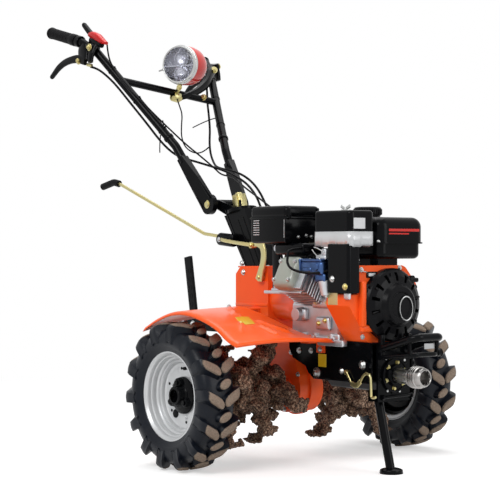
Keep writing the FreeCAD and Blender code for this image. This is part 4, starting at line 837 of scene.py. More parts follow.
def make_gearbox():
    """Bolts, joint and bosses on the cast gearbox, and the orange bell that joins the engine."""
    bm = bmesh.new()
    for sign in (-1, 1):
        hex_bolt(bm, at(-163, 62 * sign, 521), Y * sign, 5.8, 5)
        hex_bolt(bm, at(-186, 62 * sign, 360), Y * sign, 4.8, 4.5)
    for x, z in ((61, 240), (50, 168), (0, 138), (-52, 168), (-62, 232), (-96, 290), (30, 300)):
        hex_bolt(bm, at(x * 0.96, -42, z), -Y, 5, 4.5)
        hex_bolt(bm, at(x * 0.96, 42, z), Y, 5, 4.5)
    for x, y in ((-184, -22), (-184, 22), (-66, -50), (-66, 50), (-150, 50)):
        hex_bolt(bm, at(x, y, 536), Z, 4.8, 4.5)
    piece("gearbox_bolts", bm, BRIGHT, "chassis")
    bm = bmesh.new()
    blocks(bm, (-196, -58, 534.5, -112, -34, 539, 1.5, 2), (-104, -60, 534.5, -54, 58, 540, 2, 2),
        (-199, -64.5, 425, -52, -61, 433, 1.5, 2), (-199, 61, 425, -52, 64.5, 433, 1.5, 2))
    drum(bm, at(0, -48, 198), -Y, 30, 2.5, 40, 28)
    piece("gearbox_covers", bm, ORANGE, "chassis", bevel=0.8)
    bm = bmesh.new()
    bell = [(-50.5, 0), (-50.5, 54), (-48, 56), (-20, 56), (10, 60), (50, 72), (86, 83.5), (90, 85.8),
        (104, 85.8), (104.8, 84.5), (104.8, 0)]
    turned(bm, bell, CRANK, X, steps=72)
    for turn in turns(6, "X", 1 / 12):
        drum(bm, CRANK + turn @ Vector((0, 0.0785, 0)) + X * 0.08, X, 9.5, 23, 20)
    piece("bell_casting", bm, ORANGE, "chassis", ["clutch_housing"])


def make_bed_details():
    """Bolts, nuts and a bare label on the black bed, and the lip round its lower edge."""
    bm = bmesh.new()
    for sign in (-1, 1):
        side_face = 75 * sign
        for x, z, size in ((104, 310, 6), (154, 312, 5.5), (279, 265, 6.2), (362, 286, 8.5)):
            hex_bolt(bm, at(x, side_face, z), Y * sign, size, size * 4 / 5)
        hex_bolt(bm, at(179, side_face + 2 * sign, 254), Y * sign, 8, 7)
        drum(bm, at(179, side_face, 254), Y * sign, 15, 2.2, 28)
    piece("bed_bolts", bm, BRIGHT, "chassis")
    bm = bmesh.new()
    for sign in (-1, 1):
        drum(bm, at(387, 75 * sign, 286), Y * sign, 9.5, 7, 24, 8.5)
        blocks(bm, (62, 74.6 * sign, 341, 392, 78 * sign, 345.5, 1, 1),
            (164, 74.6 * sign, 237, 392, 77 * sign, 242, 1, 1))
    piece("bed_lips", bm, BLACK, "chassis")
    bm = bmesh.new()
    rounded_block(bm, (184, -75.9, 271), (217, -74.9, 306), 0.4, 1)
    piece("blank_label_bed", bm, LABEL, "chassis")


def make_crankcase_details():
    """Bosses and bolts on the crankcase, the leaning cylinder's fins and rocker cover, plug and lead."""
    bm = bmesh.new()
    blocks(bm, (112, -108, 346, 284, -97, 356, 3), (106, -107, 470, 284, -60, 482, 3),
        (118, -112, 396, 172, -97, 428, 6))
    drum(bm, at(145, -100, 412), -Y, 19, 24, 36, 16.5)
    blocks(bm, (214, -106, 331, 318, -88, 349, 4), (262, -104, 345, 300, -92, 364, 5))
    for x in (120, 160, 205, 270):
        drum(bm, at(x, -101, 351), Z, 8.5, 12, 20)
    blocks(bm, (212, -112, 372, 268, -98, 408, 7), (196, -110, 430, 276, -98, 462, 6))
    for y in (98, -98):
        blocks(bm, (116, y - 6, 346, 150, y + 6, 354, 2), (240, y - 6, 346, 280, y + 6, 354, 2))
    rounded_block(bm, (125, 97, 372), (175, 104, 410), 4)
    drum(bm, at(232, 98, 405), Y, 30, 6, 40, 28)
    piece("crankcase_bosses", bm, CASTING, "chassis", bevel=0.6)
    bm = bmesh.new()
    for x, y, z, axis in ((130, -104, 351, Z), (262, -104, 351, Z), (228, -112, 390, -Y),
            (254, -112, 398, -Y), (130, 102, 354, Z), (262, 102, 354, Z), (214, -110, 446, -Y),
            (262, -110, 446, -Y), (220, 104, 420, Y), (246, 104, 392, Y), (135, 104, 380, Y),
            (165, 104, 402, Y)):
        hex_bolt(bm, at(x, y, z), axis, 5, 4.5)
    piece("crankcase_bolts", bm, ZINC, "chassis")
    lean = Matrix.Rotation(-math.radians(26), 3, "X")

    def headed(x, out, up):
        """A place in the leaning cylinder's own frame: along, out from the crank and across."""
        return CRANK + X * (x / 1000) + lean @ Vector((0, -out / 1000, up / 1000))

    bm = bmesh.new()
    soft = block(bm, headed(171, 182, 0), (82, 44, 92), lean)
    soften(bm, soft, 17.5, 6)
    piece("soft_rocker_cover", bm, COVER_GREY, "chassis", ["rocker_cover"])
    bm = bmesh.new()
    rim = block(bm, headed(173, 161, 0), (90, 6, 96), lean)
    soften(bm, rim, 2.2, 2)
    for number in range(7):
        fin = block(bm, headed(184, 100 + number * 9, 0), (106, 3, 100 - number * 2), lean)
        soften(bm, fin, 0.8, 1)
    piece("cylinder_fin_edges", bm, CASTING, "chassis")
    bm = bmesh.new()
    for x in (142, 200):
        for up in (-30, 30):
            hex_bolt(bm, headed(x, 203, up * 0.9), lean @ -Y, 4.6, 3.8)
    piece("rocker_bolts", bm, BRIGHT, "chassis")
    bm = bmesh.new()
    drum(bm, headed(184, 150, 42), lean @ Z, 9.5, 15, 6)
    drum(bm, headed(184, 150, 57), lean @ Z, 7, 18, 20)
    piece("spark_plug", bm, BRIGHT, "chassis")
    bm = bmesh.new()
    drum(bm, headed(184, 150, 62), lean @ Z, 12.5, 23, 24, 10)
    piece("plug_boot", bm, RUBBER, "chassis", bevel=2)
    tip = headed(184, 150, 84)
    wire("plug_lead", [[tip - lean @ Z * 0.004, tip + lean @ Z * 0.008, at(196, -190, 588),
        at(206, -200, 570), at(208, -204, 552), at(220, -204, 538), at(244, -198, 529), at(272, -180, 524),
        at(296, -158, 526), at(312, -134, 536)]], 3.4, SHEATH, "chassis")


def make_carburettor():
    """The blue-tinted carburettor body, its bowl and linkage under the air cleaner, and its cover's bolts."""
    bm = bmesh.new()
    blocks(bm, (212, -164, 519, 300, -112, 556, 9, 4), (224, -167, 526, 260, -160, 540, 5))
    drum(bm, at(278, -162, 541), -Y, 11, 5, 28, 9.5)
    blocks(bm, (206, -165, 515, 214, -110, 562, 3), (264, -158, 501, 304, -108, 524, 6),
        (216, -163, 554, 296, -116, 561, 3))
    piece("carburettor_body", bm, BLUE_BODY, "chassis", bevel=0.6)
    bm = bmesh.new()
    drum(bm, at(294, -142, 466), Z - X * 0.15, 13, 38, 36, 18)
    drum(bm, at(295, -142, 461), Z, 5.5, 7, 6)
    blocks(bm, (262, -152, 560, 302, -112, 572, 4), (278, -148, 570, 298, -124, 590, 5))
    piece("carburettor_bowl", bm, CASTING, "chassis", bevel=0.6)
    bm = bmesh.new()
    rounded_block(bm, (296, -139, 442), (334, -136.5, 476), 0.8, 1)
    piece("linkage_plates", bm, ZINC, "chassis")
    wire("governor_rods", [route((250, -153, 586), (262, -154, 575), (286, -153, 560), (300, -150, 512),
        (298, -128, 478), (296, -112, 470)), route((296, -152, 578), (280, -155, 590), (258, -153, 592))],
        1.4, BRIGHT, "chassis")
    bm = bmesh.new()
    hex_bolt(bm, at(330, -152, 510), -Y, 5.8, 4.8)
    piece("cover_bolt", bm, BRIGHT, "chassis")
    bm = bmesh.new()
    hex_bolt(bm, at(380, -152, 491), -Y, 6, 5.2)
    piece("cover_bolt_brass", bm, ZINC, "chassis")
    bm = bmesh.new()
    rounded_block(bm, (366, -146, 458), (388, -138, 476), 3)
    piece("cover_boss", bm, CASTING, "chassis")


def make_cleaner_details():
    """The air cleaner's silver band with its notched edge, lid line, wing nut and bare plate."""
    bm = bmesh.new()
    low, high = at(250, -150, 0), at(396, -64, 0)
    corner = 0.0145
    path = []
    for cx, cy, start in ((high.x - corner, high.y - corner, 0), (low.x + corner, high.y - corner, 1),
                          (low.x + corner, low.y + corner, 2), (high.x - corner, low.y + corner, 3)):
        for step in range(7):
            turn = (start + step / 6) * TAU / 4
            path.append(Vector((cx + corner * math.cos(turn), cy + corner * math.sin(turn), 0)))
    dense = []
    for a, b in zip(path, path[1:] + path[:1]):
        parts = max(1, int((b - a).length / 0.004))
        dense += [a.lerp(b, step / parts) for step in range(parts)]
    upper, lower = [], []
    travelled = 0.0
    for a, b in zip(dense, dense[1:] + dense[:1]):
        wave = 0.0034 if (travelled % 0.058) < 0.03 else 0.0
        upper.append(bm.verts.new(a + Z * 0.633))
        lower.append(bm.verts.new(a + Z * (0.593 + wave)))
        travelled += (b - a).length
    count = len(dense)
    for number in range(count):
        after = (number + 1) % count
        bm.faces.new((lower[number], lower[after], upper[after], upper[number]))
    piece("cleaner_band", bm, SILVER, "chassis", wall=1.2)
    bm = bmesh.new()
    drum(bm, at(331, -107, 687.5), Z, 12, 3, 28)
    drum(bm, at(331, -107, 690), Z, 6.5, 8, 16, 5.5)
    for sign in (-1, 1):
        wing = block(bm, at(331 + 11 * sign, -107, 697), (16, 3, 9), Matrix.Rotation(-sign * 0.5, 3, "Y"))
        soften(bm, wing, 1.2, 2)
    piece("wing_nut", bm, BRIGHT, "chassis")
    bm = bmesh.new()
    rounded_block(bm, (396.0, -138, 640), (396.9, -98, 668), 0.4, 1)
    piece("blank_plate_cleaner", bm, SILVER, "chassis")


def make_muffler_details():
    """The muffler's black shell with its domed lid, folded seam, louvres and guard bolts."""
    bm = bmesh.new()
    blocks(bm, (-19, -149.5, 603.5, 137, -31.5, 684, 8, 4), (-20, -151.0, 672, 141, -30.0, 705.5, 13, 5),
        (-20, -151.6, 669, 141, -29.4, 675, 2.2, 2), (132.5, -152.0, 605, 137.5, -29.0, 672, 1.8, 2))
    for y in (-140, -41):
        rounded_block(bm, (135, y - 4, 668), (145, y + 4, 700), 3, 3)
    piece("muffler_shell", bm, BLACK, "chassis", ["muffler"])
    bm = bmesh.new()
    blocks(bm, (17, -101, 478, 47, -93, 606, 3, 2), (17, -120, 600, 47, -70, 605, 1, 1),
        (72, -140, 572, 196, -60, 604, 10), (96, -128, 548, 190, -70, 580, 12))
    drum(bm, at(118, -98, 544), X * 0.3 - Y * 0.2 + Z, 18, 48, 28)
    piece("muffler_post", bm, BLACK, "chassis")
    bm = bmesh.new()
    drum(bm, at(38, -101, 590), -Y, 10, 4, 28, 9)
    blocks(bm, (-12, -108, 464, 128, -98, 473, 2, 2), (18, -106, 471, 58, -98, 480, 3, 2),
        (28, -106, 479, 48, -99, 488, 3, 2))
    for step in range(4):
        rounded_block(bm, (118 + step * 14, -112 - step * 3, 452 + step * 9),
                      (160 + step * 14, -96 - step * 3, 457 + step * 9), 2, 1)
    piece("muffler_feet", bm, CASTING, "chassis")
    bm = bmesh.new()
    for step in range(7):
        rounded_block(bm, (-4, -151.4, 626 + step * 6.4), (22, -149.2, 628.4 + step * 6.4), 0.8, 1)
    for y in (-136, -120, -104, -88):
        rounded_block(bm, (-20.5, y - 5, 634), (-19, y + 5, 664), 0.6, 1)
    rounded_block(bm, (131.5, -152.8, 618), (133.0, -151.6, 668), 0.5, 1)
    piece("muffler_louvres", bm, SILVER, "chassis")
    bm = bmesh.new()
    for y, z in ((-107, 620), (-79, 624), (-61, 621)):
        hex_bolt(bm, at(138, y, z), X, 4, 3.6)
    piece("muffler_bolts", bm, BRIGHT, "chassis")


def make_tank_details():
    """The knurled filler cap, two plain red stripes, the seam's bolt, the outlet and the fuel hose."""
    foot = middle("fuel_cap")
    foot.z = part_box("fuel_cap")[0].z
    bm = bmesh.new()
    turned(bm, [(0, 0), (0, 34), (6, 34.5), (8, 37.2), (24, 37.8), (28, 35),
                (29.5, 28), (27, 24), (27, 0)], foot, Z, steps=72)
    for turn in turns(36, "Z"):
        grip_rib = block(bm, foot + turn @ Vector((0.0378, 0, 0)) + Z * 0.016, (3, 3.2, 15), turn)
        soften(bm, grip_rib, 0.8, 1)
    piece("knurled_fuel_cap", bm, PLASTIC, "chassis", ["fuel_cap"])
    bm = bmesh.new()
    blocks(bm, (393.2, -12, 634, 394.5, 98, 641, 0.5, 1), (393.2, -12, 626, 394.5, 60, 630, 0.5, 1))
    piece("tank_stripe", bm, RED_PAINT, "chassis")
    bm = bmesh.new()
    hex_bolt(bm, at(392, -48, 606), Z, 4.2, 3.6)
    drum(bm, at(300, -40, 556), Z, 7, 10, 16)
    piece("tank_bolts", bm, BRIGHT, "chassis")
    wire("fuel_hose", [route((300, -40, 556), (300, -46, 540), (296, -70, 520), (290, -92, 516),
        (286, -112, 520))], 3.6, RUBBER, "chassis")


def make_blower_details():
    """Bolts on the blower housing, its switch and choke rod, and the starter's ribs, vent and grip."""
    bm = bmesh.new()
    for y, z in ((-96, 360), (60, 354), (96, 410), (96, 486), (40, 538), (-100, 534)):
        hex_bolt(bm, at(380, y * 0.97, z), X, 4.8, 4.2)
    piece("blower_bolts", bm, BRIGHT, "chassis")
    bm = bmesh.new()
    rounded_block(bm, (379.5, -80, 513), (383, -44, 529), 1.2, 2)
    piece("blank_switch_plate", bm, PLASTIC, "chassis")
    bm = bmesh.new()
    rounded_block(bm, (383, -74, 517), (384, -50, 525), 0.4, 1)
    piece("switch_face", bm, SILVER, "chassis")
    wire("choke_rod", [route((340, -148, 533), (384, -146, 533), (389, -128, 532), (387, -96, 530),
        (385, -82, 528))], 1.6, BRIGHT, "chassis")
    bm = bmesh.new()
    face = CRANK + X * 0.43 + Y * 0.016 - Z * 0.009
    ring = [(-0.5, 22.5), (1.2, 22.8), (2, 24), (1.2, 25.2), (-0.5, 25.5)]
    turned(bm, ring, face - X * 0.0005, X, steps=56)
    bmesh.ops.transform(bm, verts=bm.verts,
        matrix=Matrix.Translation(face) @ Matrix.Diagonal((1, 0.95, 1.3, 1)) @ Matrix.Translation(-face))
    piece("starter_badge_ring", bm, BRIGHT, "chassis")
    bm = bmesh.new()
    for turn in turns(8, "X", 0.3 / 8):
        spoke = block(bm, CRANK + turn @ Vector((0.4085, 0.069, 0)), (6, 33, 5), turn)
        soften(bm, spoke, 1.2, 2)
    for turn in turns(3, "X", 0.25 / 3):
        drum(bm, CRANK + turn @ Vector((0.392, 0.09, 0)), X, 6.8, 8, 20)
    piece("starter_ribs", bm, PLASTIC, "chassis", bevel=0.5)
    bm = bmesh.new()
    rounded_block(bm, (380, -92, 392), (394, -72, 498), 3)
    for step in range(5):
        rounded_block(bm, (393, -90, 402 + step * 18), (395.5, -76, 411 + step * 18), 0.8, 1)
    piece("starter_side_vent", bm, PLASTIC, "chassis")
    bm = bmesh.new()
    blocks(bm, (376, -106, 386, 396, -91, 504, 4), (376, -104, 372, 392, -60, 392, 6))
    piece("starter_side_lip", bm, ORANGE, "chassis")
    bm = bmesh.new()
    drum(bm, at(392, 66, 508), X + Y * 0.2, 10, 10, 24)
    rounded_block(bm, (398, 52, 500), (408, 84, 512), 4)
    piece("starter_handle", bm, PLASTIC, "chassis")


def make_oil_cap():
    """The ribbed oil filler cap."""
    low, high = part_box("oil_cap")
    base = Vector(((low.x + high.x) / 2, high.y, (low.z + high.z) / 2))
    bm = bmesh.new()
    turned(bm, [(-2, 0), (-2, 10), (6, 10.2), (8, 12), (20, 12.6), (23.5, 10.5),
                (23.8, 0)], base, -Y, steps=40)
    for turn in turns(10, "Y"):
        rib = block(bm, base + turn @ Vector((0.012, 0, 0)) - Y * 0.015, (2.2, 11, 3), turn)
        soften(bm, rib, 0.6, 1)
    piece("oil_filler_cap", bm, PLASTIC, "chassis", ["oil_cap"])


make_gearbox()
make_bed_details()
make_crankcase_details()
make_carburettor()
make_cleaner_details()
make_muffler_details()
make_tank_details()
make_blower_details()
make_oil_cap()


# ---- power take-off, guard, stand and drawbar -------------------------------------------------

def make_pto():
    """The black ring and bolts round the splined shaft, the ringed sleeve on it and the cover plate."""
    centre = at(400, 0, 258)
    bm = bmesh.new()
    turned(bm, [(0, 19), (0, 43), (1.5, 44), (7, 44), (8.5, 42.5), (8.5, 39), (6, 37.5), (6, 31), (11, 29),
        (15, 28), (15, 20.5), (0, 19)], centre, X, steps=64)
    piece("pto_seal_ring", bm, BLACK, "pto", ["pto_flange"])
    bm = bmesh.new()
    for turn in turns(6, "X", 0.35 / TAU):
        hex_bolt(bm, centre + X * 0.006 + turn @ Vector((0, 0.0345, 0)), X, 4.3, 4.2)
    piece("pto_ring_bolts", bm, ZINC, "pto")
    low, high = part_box("pto_coupling")
    start = Vector((low.x, 0, (low.z + high.z) / 2))
    bm = bmesh.new()
    turned(bm, [(14, 19.3), (14, 24), (15.5, 26.2), (18.5, 26.2), (20, 24.6), (21.2, 24.6), (22.5, 28.4),
        (26, 28.8), (27, 26.2), (28.2, 26.2), (29.2, 29), (32.5, 29), (33.5, 26.4), (34.7, 26.4),
        (35.7, 28.8), (39, 28.8), (40, 26.2), (41.2, 26.2), (42.2, 28.4), (45.5, 28.4), (47, 25.6),
        (56, 25.2), (60, 24), (62.5, 22.6), (63.8, 21.4), (63.8, 19.4), (61.5, 18.2), (43, 18), (42, 19.3),
        (14, 19.3)], start, X, steps=72)
    for turn in turns(9, "X", 1 / 18):
        tooth = block(bm, start + X * 0.052 + turn @ Vector((0, 0, 0.0178)), (18, 3, 2.6), turn)
        soften(bm, tooth, 0.5, 1)
    piece("pto_sleeve", bm, STEEL, "pto", ["pto_coupling"])
    low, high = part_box("pto_shaft")
    reach = (high.z - low.z) / 2
    bm = bmesh.new()
    for turn in turns(10, "X", 0.05):
        spline = block(bm, at(416, 0, 258) + X * 0.028 + turn @ Vector((0, 0, reach - 0.0004)),
                       (56, 5, 3.4), turn)
        soften(bm, spline, 0.8, 1)
    piece("pto_splines", bm, BRIGHT, "pto")
    bm = bmesh.new()
    turned(bm, [(2, 0), (2, 56), (0, 57), (-2, 56), (-2, 0)], at(397.0, 0, 262), X, steps=64)
    for angle in (0.6, 1.9, 3.4, 4.6, 5.5):
        arm = Matrix.Rotation(angle, 3, "X") @ Vector((0, 0.05, 0))
        drum(bm, at(399.0, 0, 262) + arm, X, 5.2, 3.5, 16, 4.5)
    piece("pto_cover_plate", bm, BLACK, "chassis", bevel=0.6)
    bm = bmesh.new()
    for angle in (0.75, 2.2, 4.2, 5.1):
        arm = Matrix.Rotation(angle, 3, "X") @ Vector((0, 0.05, 0))
        drum(bm, at(399.5, 0, 262) + arm, X, 3.4, 3, 12)
    piece("pto_cover_screws", bm, BRIGHT, "chassis")


def make_guard_details():
    """The small bare plate, side bolt and brackets on the bent guard tubes, and the stand's rod."""
    bm = bmesh.new()
    rounded_block(bm, (503, 8, 331), (506, 44, 345), 1, 1)
    piece("guard_plate", bm, SILVER, "chassis")
    bm = bmesh.new()
    drum(bm, at(500, 56, 320), Y, 10, 12, 20)
    hex_bolt(bm, at(500, 68, 320), Y, 7.5, 5)
    for y in (-48, 48):
        rounded_block(bm, (396, y - 6, 300), (412, y + 6, 366), 2.5)
    for y in (-36, 36):
        drum(bm, at(403, y, 322), X, 7, 6, 6)
    piece("guard_brackets", bm, BLACK, "chassis")
    bm = bmesh.new()
    bar(bm, at(402, -40, 201), at(402, 58, 204), 4.2, 16)
    for y in (-44, 58):
        drum(bm, at(402, y, 202), Y, 7, 4.5, 16)
    piece("stand_spring_rod", bm, BLACK, "chassis")


def make_latch():
    """The stand's bent zinc catch, its drop rod and its pin on the bed's right side."""
    face = -80.5
    path = [(298, 264), (304, 262), (314, 248), (324, 235), (334, 231), (346, 232), (358, 242), (370, 259),
            (380, 265), (394, 262)]
    bm = bmesh.new()
    for (x0, z0), (x1, z1) in zip(path, path[1:]):
        run = at(x1, face, z1) - at(x0, face, z0)
        wide = 13.5 if 320 < x0 < 350 else 7
        strip = block(bm, (at(x0, face, z0) + at(x1, face, z1)) / 2, (run.length * 1000 + 3.5, 2.8, wide),
                      Matrix.Rotation(-math.atan2(run.z, run.x), 3, "Y"))
        soften(bm, strip, 0.8, 1)
    drum(bm, at(300, -75, 263), -Y, 6.8, 5, 18)
    piece("latch_strip", bm, ZINC, "chassis", ["stand_latch"])
    wire("latch_rod", [route((393, face, 262), (398, face, 258), (399, face, 236), (400, face, 214),
        (401, face - 1, 206), (408, face - 1, 203), (418, face - 1, 206))], 3.4, ZINC, "chassis")


def make_stand_foot():
    """The round pad under the stand's leg."""
    foot = Vector((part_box("stand_leg")[1].x - 0.031, 0, 0))
    bm = bmesh.new()
    turned(bm, [(0.5, 0), (0.5, 27), (3, 30.3), (7, 30.9), (10.5, 29.2),
                (13, 23), (15, 15), (15, 0)], foot, Z, steps=56)
    piece("stand_foot_pad", bm, BLACK, "stand")


def make_hitch_details():
    """Bolts on the drawbar and raised rims round the depth stake's holes."""
    bm = bmesh.new()
    low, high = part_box("rear_hitch")
    for shift, size, tall in ((0.05, 7, 6), (0.15, 5.5, 5)):
        for y, out in ((low.y, -Y), (high.y, Y)):
            hex_bolt(bm, Vector((low.x + shift, y, (low.z + high.z) / 2)), out, size, tall)
    piece("hitch_bolts", bm, BRIGHT, "chassis")
    bm = bmesh.new()
    low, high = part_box("depth_stake")
    top = Vector((low.x + 0.03, 0, high.z))
    foot = Vector((high.x - 0.016, 0, low.z))
    for number in range(7):
        place = foot.lerp(top, 0.3 + number * 0.09)
        for sign in (-1, 1):
            turned(bm, [(-0.2, 4.8), (0.8, 5.2), (0.8, 7.8), (-0.2, 8)],
                   place + Y * sign * 0.005 - X * 0.008, Y * sign, steps=20)
    piece("stake_hole_rims", bm, BLACK, "chassis")


make_pto()
make_guard_details()
make_latch()
make_stand_foot()
make_hitch_details()


# ---- handlebars, lamp, levers and gear linkage ------------------------------------------------

TILT = at(-334, 0, 721)
DROP = Matrix.Rotation(math.radians(-3), 3, "Y")
# places along the right arm, which the left one mirrors
FOOT, KNEE, ELBOW = (-334, 68, 721), (-452, 98, 899), (-693, 225, 1196)
GRIP_START, GRIP_END = (-746, 248, 1232), (-917, 260, 1280)


def on_arm(sign, x, y, z):
    """A place on an arm: the left arm's hangs a notch lower, round the tilt pivot."""
    place = at(x, sign * y, z)
    return TILT + DROP @ (place - TILT) if sign > 0 else place


def arm_route(sign, *points):
    return [on_arm(sign, *point) for point in points]


def make_arm_details():
    """Pivot bolts, the ridges on each flat foot, collars and cable ties."""
    bm = bmesh.new()
    for sign in (-1, 1):
        drum(bm, at(-334, sign * 66.0, 721), Y * sign, 12.5, 2, 28)
        drum(bm, at(-334, sign * 68.0, 721), Y * sign, 8.5, 1.6, 6)
    piece("arm_pivot_bolts", bm, ZINC, "handlebars")
    bm = bmesh.new()
    for sign in (-1, 1):
        foot, knee, elbow = arm_route(sign, FOOT, KNEE, ELBOW)
        run = (knee - foot).normalized()
        across = run.cross(Y).normalized()
        if across.x < 0:
            across = -across
        for side in (across, -across):
            bar(bm, foot + side * 0.024 + run * 0.006, knee - run * 0.04 + side * 0.0115, 2.4, 10, 2)
        along = (elbow - knee).normalized()
        start = knee + along * (0.052 if sign > 0 else 0.03)
        turned(bm, [(0, 12.8), (0, 15), (1.5, 15.6), (8.5, 15.6), (10, 15),
                    (10, 12.8), (0, 12.8)], start, along, steps=32)
        for share in (0.3, 0.62, 0.86) if sign > 0 else (0.16, 0.48, 0.8):
            tie = knee.lerp(elbow, share)
            turned(bm, [(0, 13.1), (0, 14.4), (4.2, 14.4), (4.2, 13.1), (0, 13.1)], tie, along, steps=28)
            square = Y.cross(along).normalized()
            lock = block(bm, tie + along * 0.002 - square * 0.0158 * sign, (6, 5, 5))
            soften(bm, lock, 0.8, 1)
    piece("arm_collars_and_ties", bm, BLACK, "handlebars")
    tie = on_arm(-1, *KNEE).lerp(on_arm(-1, *ELBOW), 0.16)
    left = on_arm(1, *KNEE).lerp(on_arm(1, *ELBOW), 0.4)
    wire("tie_tails", [[tie + Vector((0.004, 0, 0.012)), tie + Vector((0.006, -0.002, 0.022)),
        tie + Vector((0.003, -0.003, 0.032))],
        [tie + Vector((-0.004, -0.006, -0.012)), tie + Vector((-0.006, -0.008, -0.034)),
        tie + Vector((-0.008, -0.006, -0.066))],
        [left + Vector((-0.006, -0.012, -0.002)), left + Vector((-0.014, -0.04, -0.01)),
        left + Vector((-0.03, -0.082, -0.034))]], 1.7, SHEATH, "handlebars")


def make_grips():
    """Soft grips with a round end, a rolled collar and shallow ribs."""
    for word, sign in SIDES:
        begin, end = arm_route(sign, GRIP_START, GRIP_END)
        run = (end - begin).normalized()
        profile = [(-150, 13), (-150, 16.8), (-148, 18.4), (-140, 19), (-124, 18.8), (-121, 17.6)]
        for step in range(12):
            base = -119 + step * 8.5
            profile += [(base, 16.6), (base + 1.2, 17.6), (base + 6.2, 17.6), (base + 7.4, 16.6)]
        profile += [(-15, 17.2), (-13, 18.6), (-7, 18.9), (-3, 17.2), (-0.8, 12.5), (-0.2, 6), (-0.2, 0)]
        bm = bmesh.new()
        turned(bm, profile, end, run, steps=48)
        piece("ribbed_grip_" + word, bm, RUBBER, "handlebars", ["grip_" + word])


def squared(wave):
    """A sine or cosine pushed outwards, which makes a circle nearly square."""
    return math.copysign(abs(wave) ** 0.6, wave)


def lofted(bm, places, sizes, up):
    """A bar with rounded edges whose width and thickness change along a smooth line."""
    points = smooth_line(places, 6)
    rings = []
    for number, place in enumerate(points):
        share = number / (len(points) - 1) * (len(sizes) - 1)
        low = min(int(share), len(sizes) - 2)
        wide, thick = (a + (b - a) * (share - low) for a, b in zip(sizes[low], sizes[low + 1]))
        before, after = points[max(0, number - 1)], points[min(len(points) - 1, number + 1)]
        run = (after - before).normalized()
        across = run.cross(up).normalized()
        top = across.cross(run).normalized()
        ring = [bm.verts.new(place + across * (thick / 1000 * squared(math.cos(a))) + top *
            (wide / 1000 * squared(math.sin(a)))) for a in (TAU * step / 14 for step in range(14))]
        rings.append(ring)
    for ring, after in zip(rings, rings[1:]):
        bmesh.ops.bridge_loops(bm, edges=[bm.edges.get(pair) or bm.edges.new(pair) for loop in (ring,
            after) for pair in zip(loop, loop[1:] + loop[:1])])
    bm.faces.new(rings[0])
    bm.faces.new(rings[-1])


def make_levers():
    """Cast lever brackets and curved hand levers under both grips."""
    for word, sign in SIDES:
        bm = bmesh.new()
        begin, end = arm_route(sign, GRIP_START, GRIP_END)
        run = (end - begin).normalized()
        for shift in (0.03, 0.004):
            turned(bm, [(0, 13.2), (0, 16.5), (2, 18.5), (16, 18.5), (18, 16.5),
                        (18, 13.2), (0, 13.2)], begin + run * shift, run, steps=36)
        lofted(bm, arm_route(sign, (-729, 249, 1225), (-731, 252, 1207), (-725, 254, 1189),
            (-717, 256, 1169)), [(20, 9), (24, 8.5), (25, 8), (18, 8)], X)
        lofted(bm, arm_route(sign, (-689, 240, 1217), (-690, 247, 1201), (-689, 252, 1181),
            (-686, 254, 1163)), [(18, 8), (16, 7.5), (13, 7), (8, 6.5)], X)
        piece("lever_bracket_" + word, bm, BLACK, "handlebars")
        bm = bmesh.new()
        lofted(bm, arm_route(sign, (-709, 258, 1167), (-749, 259, 1179), (-787, 261, 1180), (-825, 262, 1175),
            (-859, 263, 1163), (-885, 264, 1147), (-901, 264, 1137)),
            [(11, 6), (13.5, 5.6), (11.5, 5.5), (11, 5.6), (10, 5.8), (8, 6), (7, 6.2)], Z)
        bmesh.ops.create_uvsphere(bm, u_segments=20, v_segments=12, radius=0.0072,
                                         matrix=Matrix.Translation(on_arm(sign, -901, 264, 1137)))
        piece("hand_lever_" + word, bm, BLACK, "handlebars", ["lever_" + word])
        bm = bmesh.new()
        out = Y * sign
        hex_bolt(bm, on_arm(sign, -741, 262, 1173), out, 8.2, 6)
        hex_bolt(bm, on_arm(sign, -689, 256, 1210), out, 7.8, 5.5)
        bar(bm, on_arm(sign, -711, 250, 1159), on_arm(sign, -693, 245, 1155), 5.2, 12)
        piece("lever_bolts_" + word, bm, ZINC, "handlebars")


def make_throttle():
    """The thumb control: a black lever and clamp under a red wedge-shaped cover."""
    bm = bmesh.new()
    lofted(bm, route((-732, -226, 1257), (-714, -226, 1252), (-688, -226, 1242), (-662, -225, 1228),
        (-644, -224, 1220)), [(7, 9.5), (12, 12), (12.5, 12), (8, 10), (4.5, 7.5)], Z)
    piece("throttle_wedge", bm, RED_PLASTIC, "handlebars", ["throttle_cover"], sharp=60)
    bm = bmesh.new()
    lofted(bm, route((-716, -227, 1250), (-732, -228, 1263), (-748, -230, 1278), (-760, -232, 1290)),
           [(9.5, 8), (8.5, 7.5), (8, 7.2), (7.4, 6.8)], X)
    bmesh.ops.create_uvsphere(bm, u_segments=20, v_segments=12, radius=0.007,
                              matrix=Matrix.Translation(at(-760, -232, 1290)))
    clamp = on_arm(-1, -698, 227, 1199)
    tilt = Vector((-0.7, -0.32, 0.64)).normalized()
    turned(bm, [(0, 13.2), (0, 17.2), (2, 18.5), (22, 18.5), (24, 17.2), (24, 13.2),
                (0, 13.2)], clamp, tilt, steps=36)
    lofted(bm, route((-722, -227, 1236), (-700, -227, 1230), (-668, -226, 1216)),
           [(12, 11.5), (14, 12), (8, 10)], Z)
    piece("thumb_lever", bm, PLASTIC, "handlebars", ["throttle_lever"])


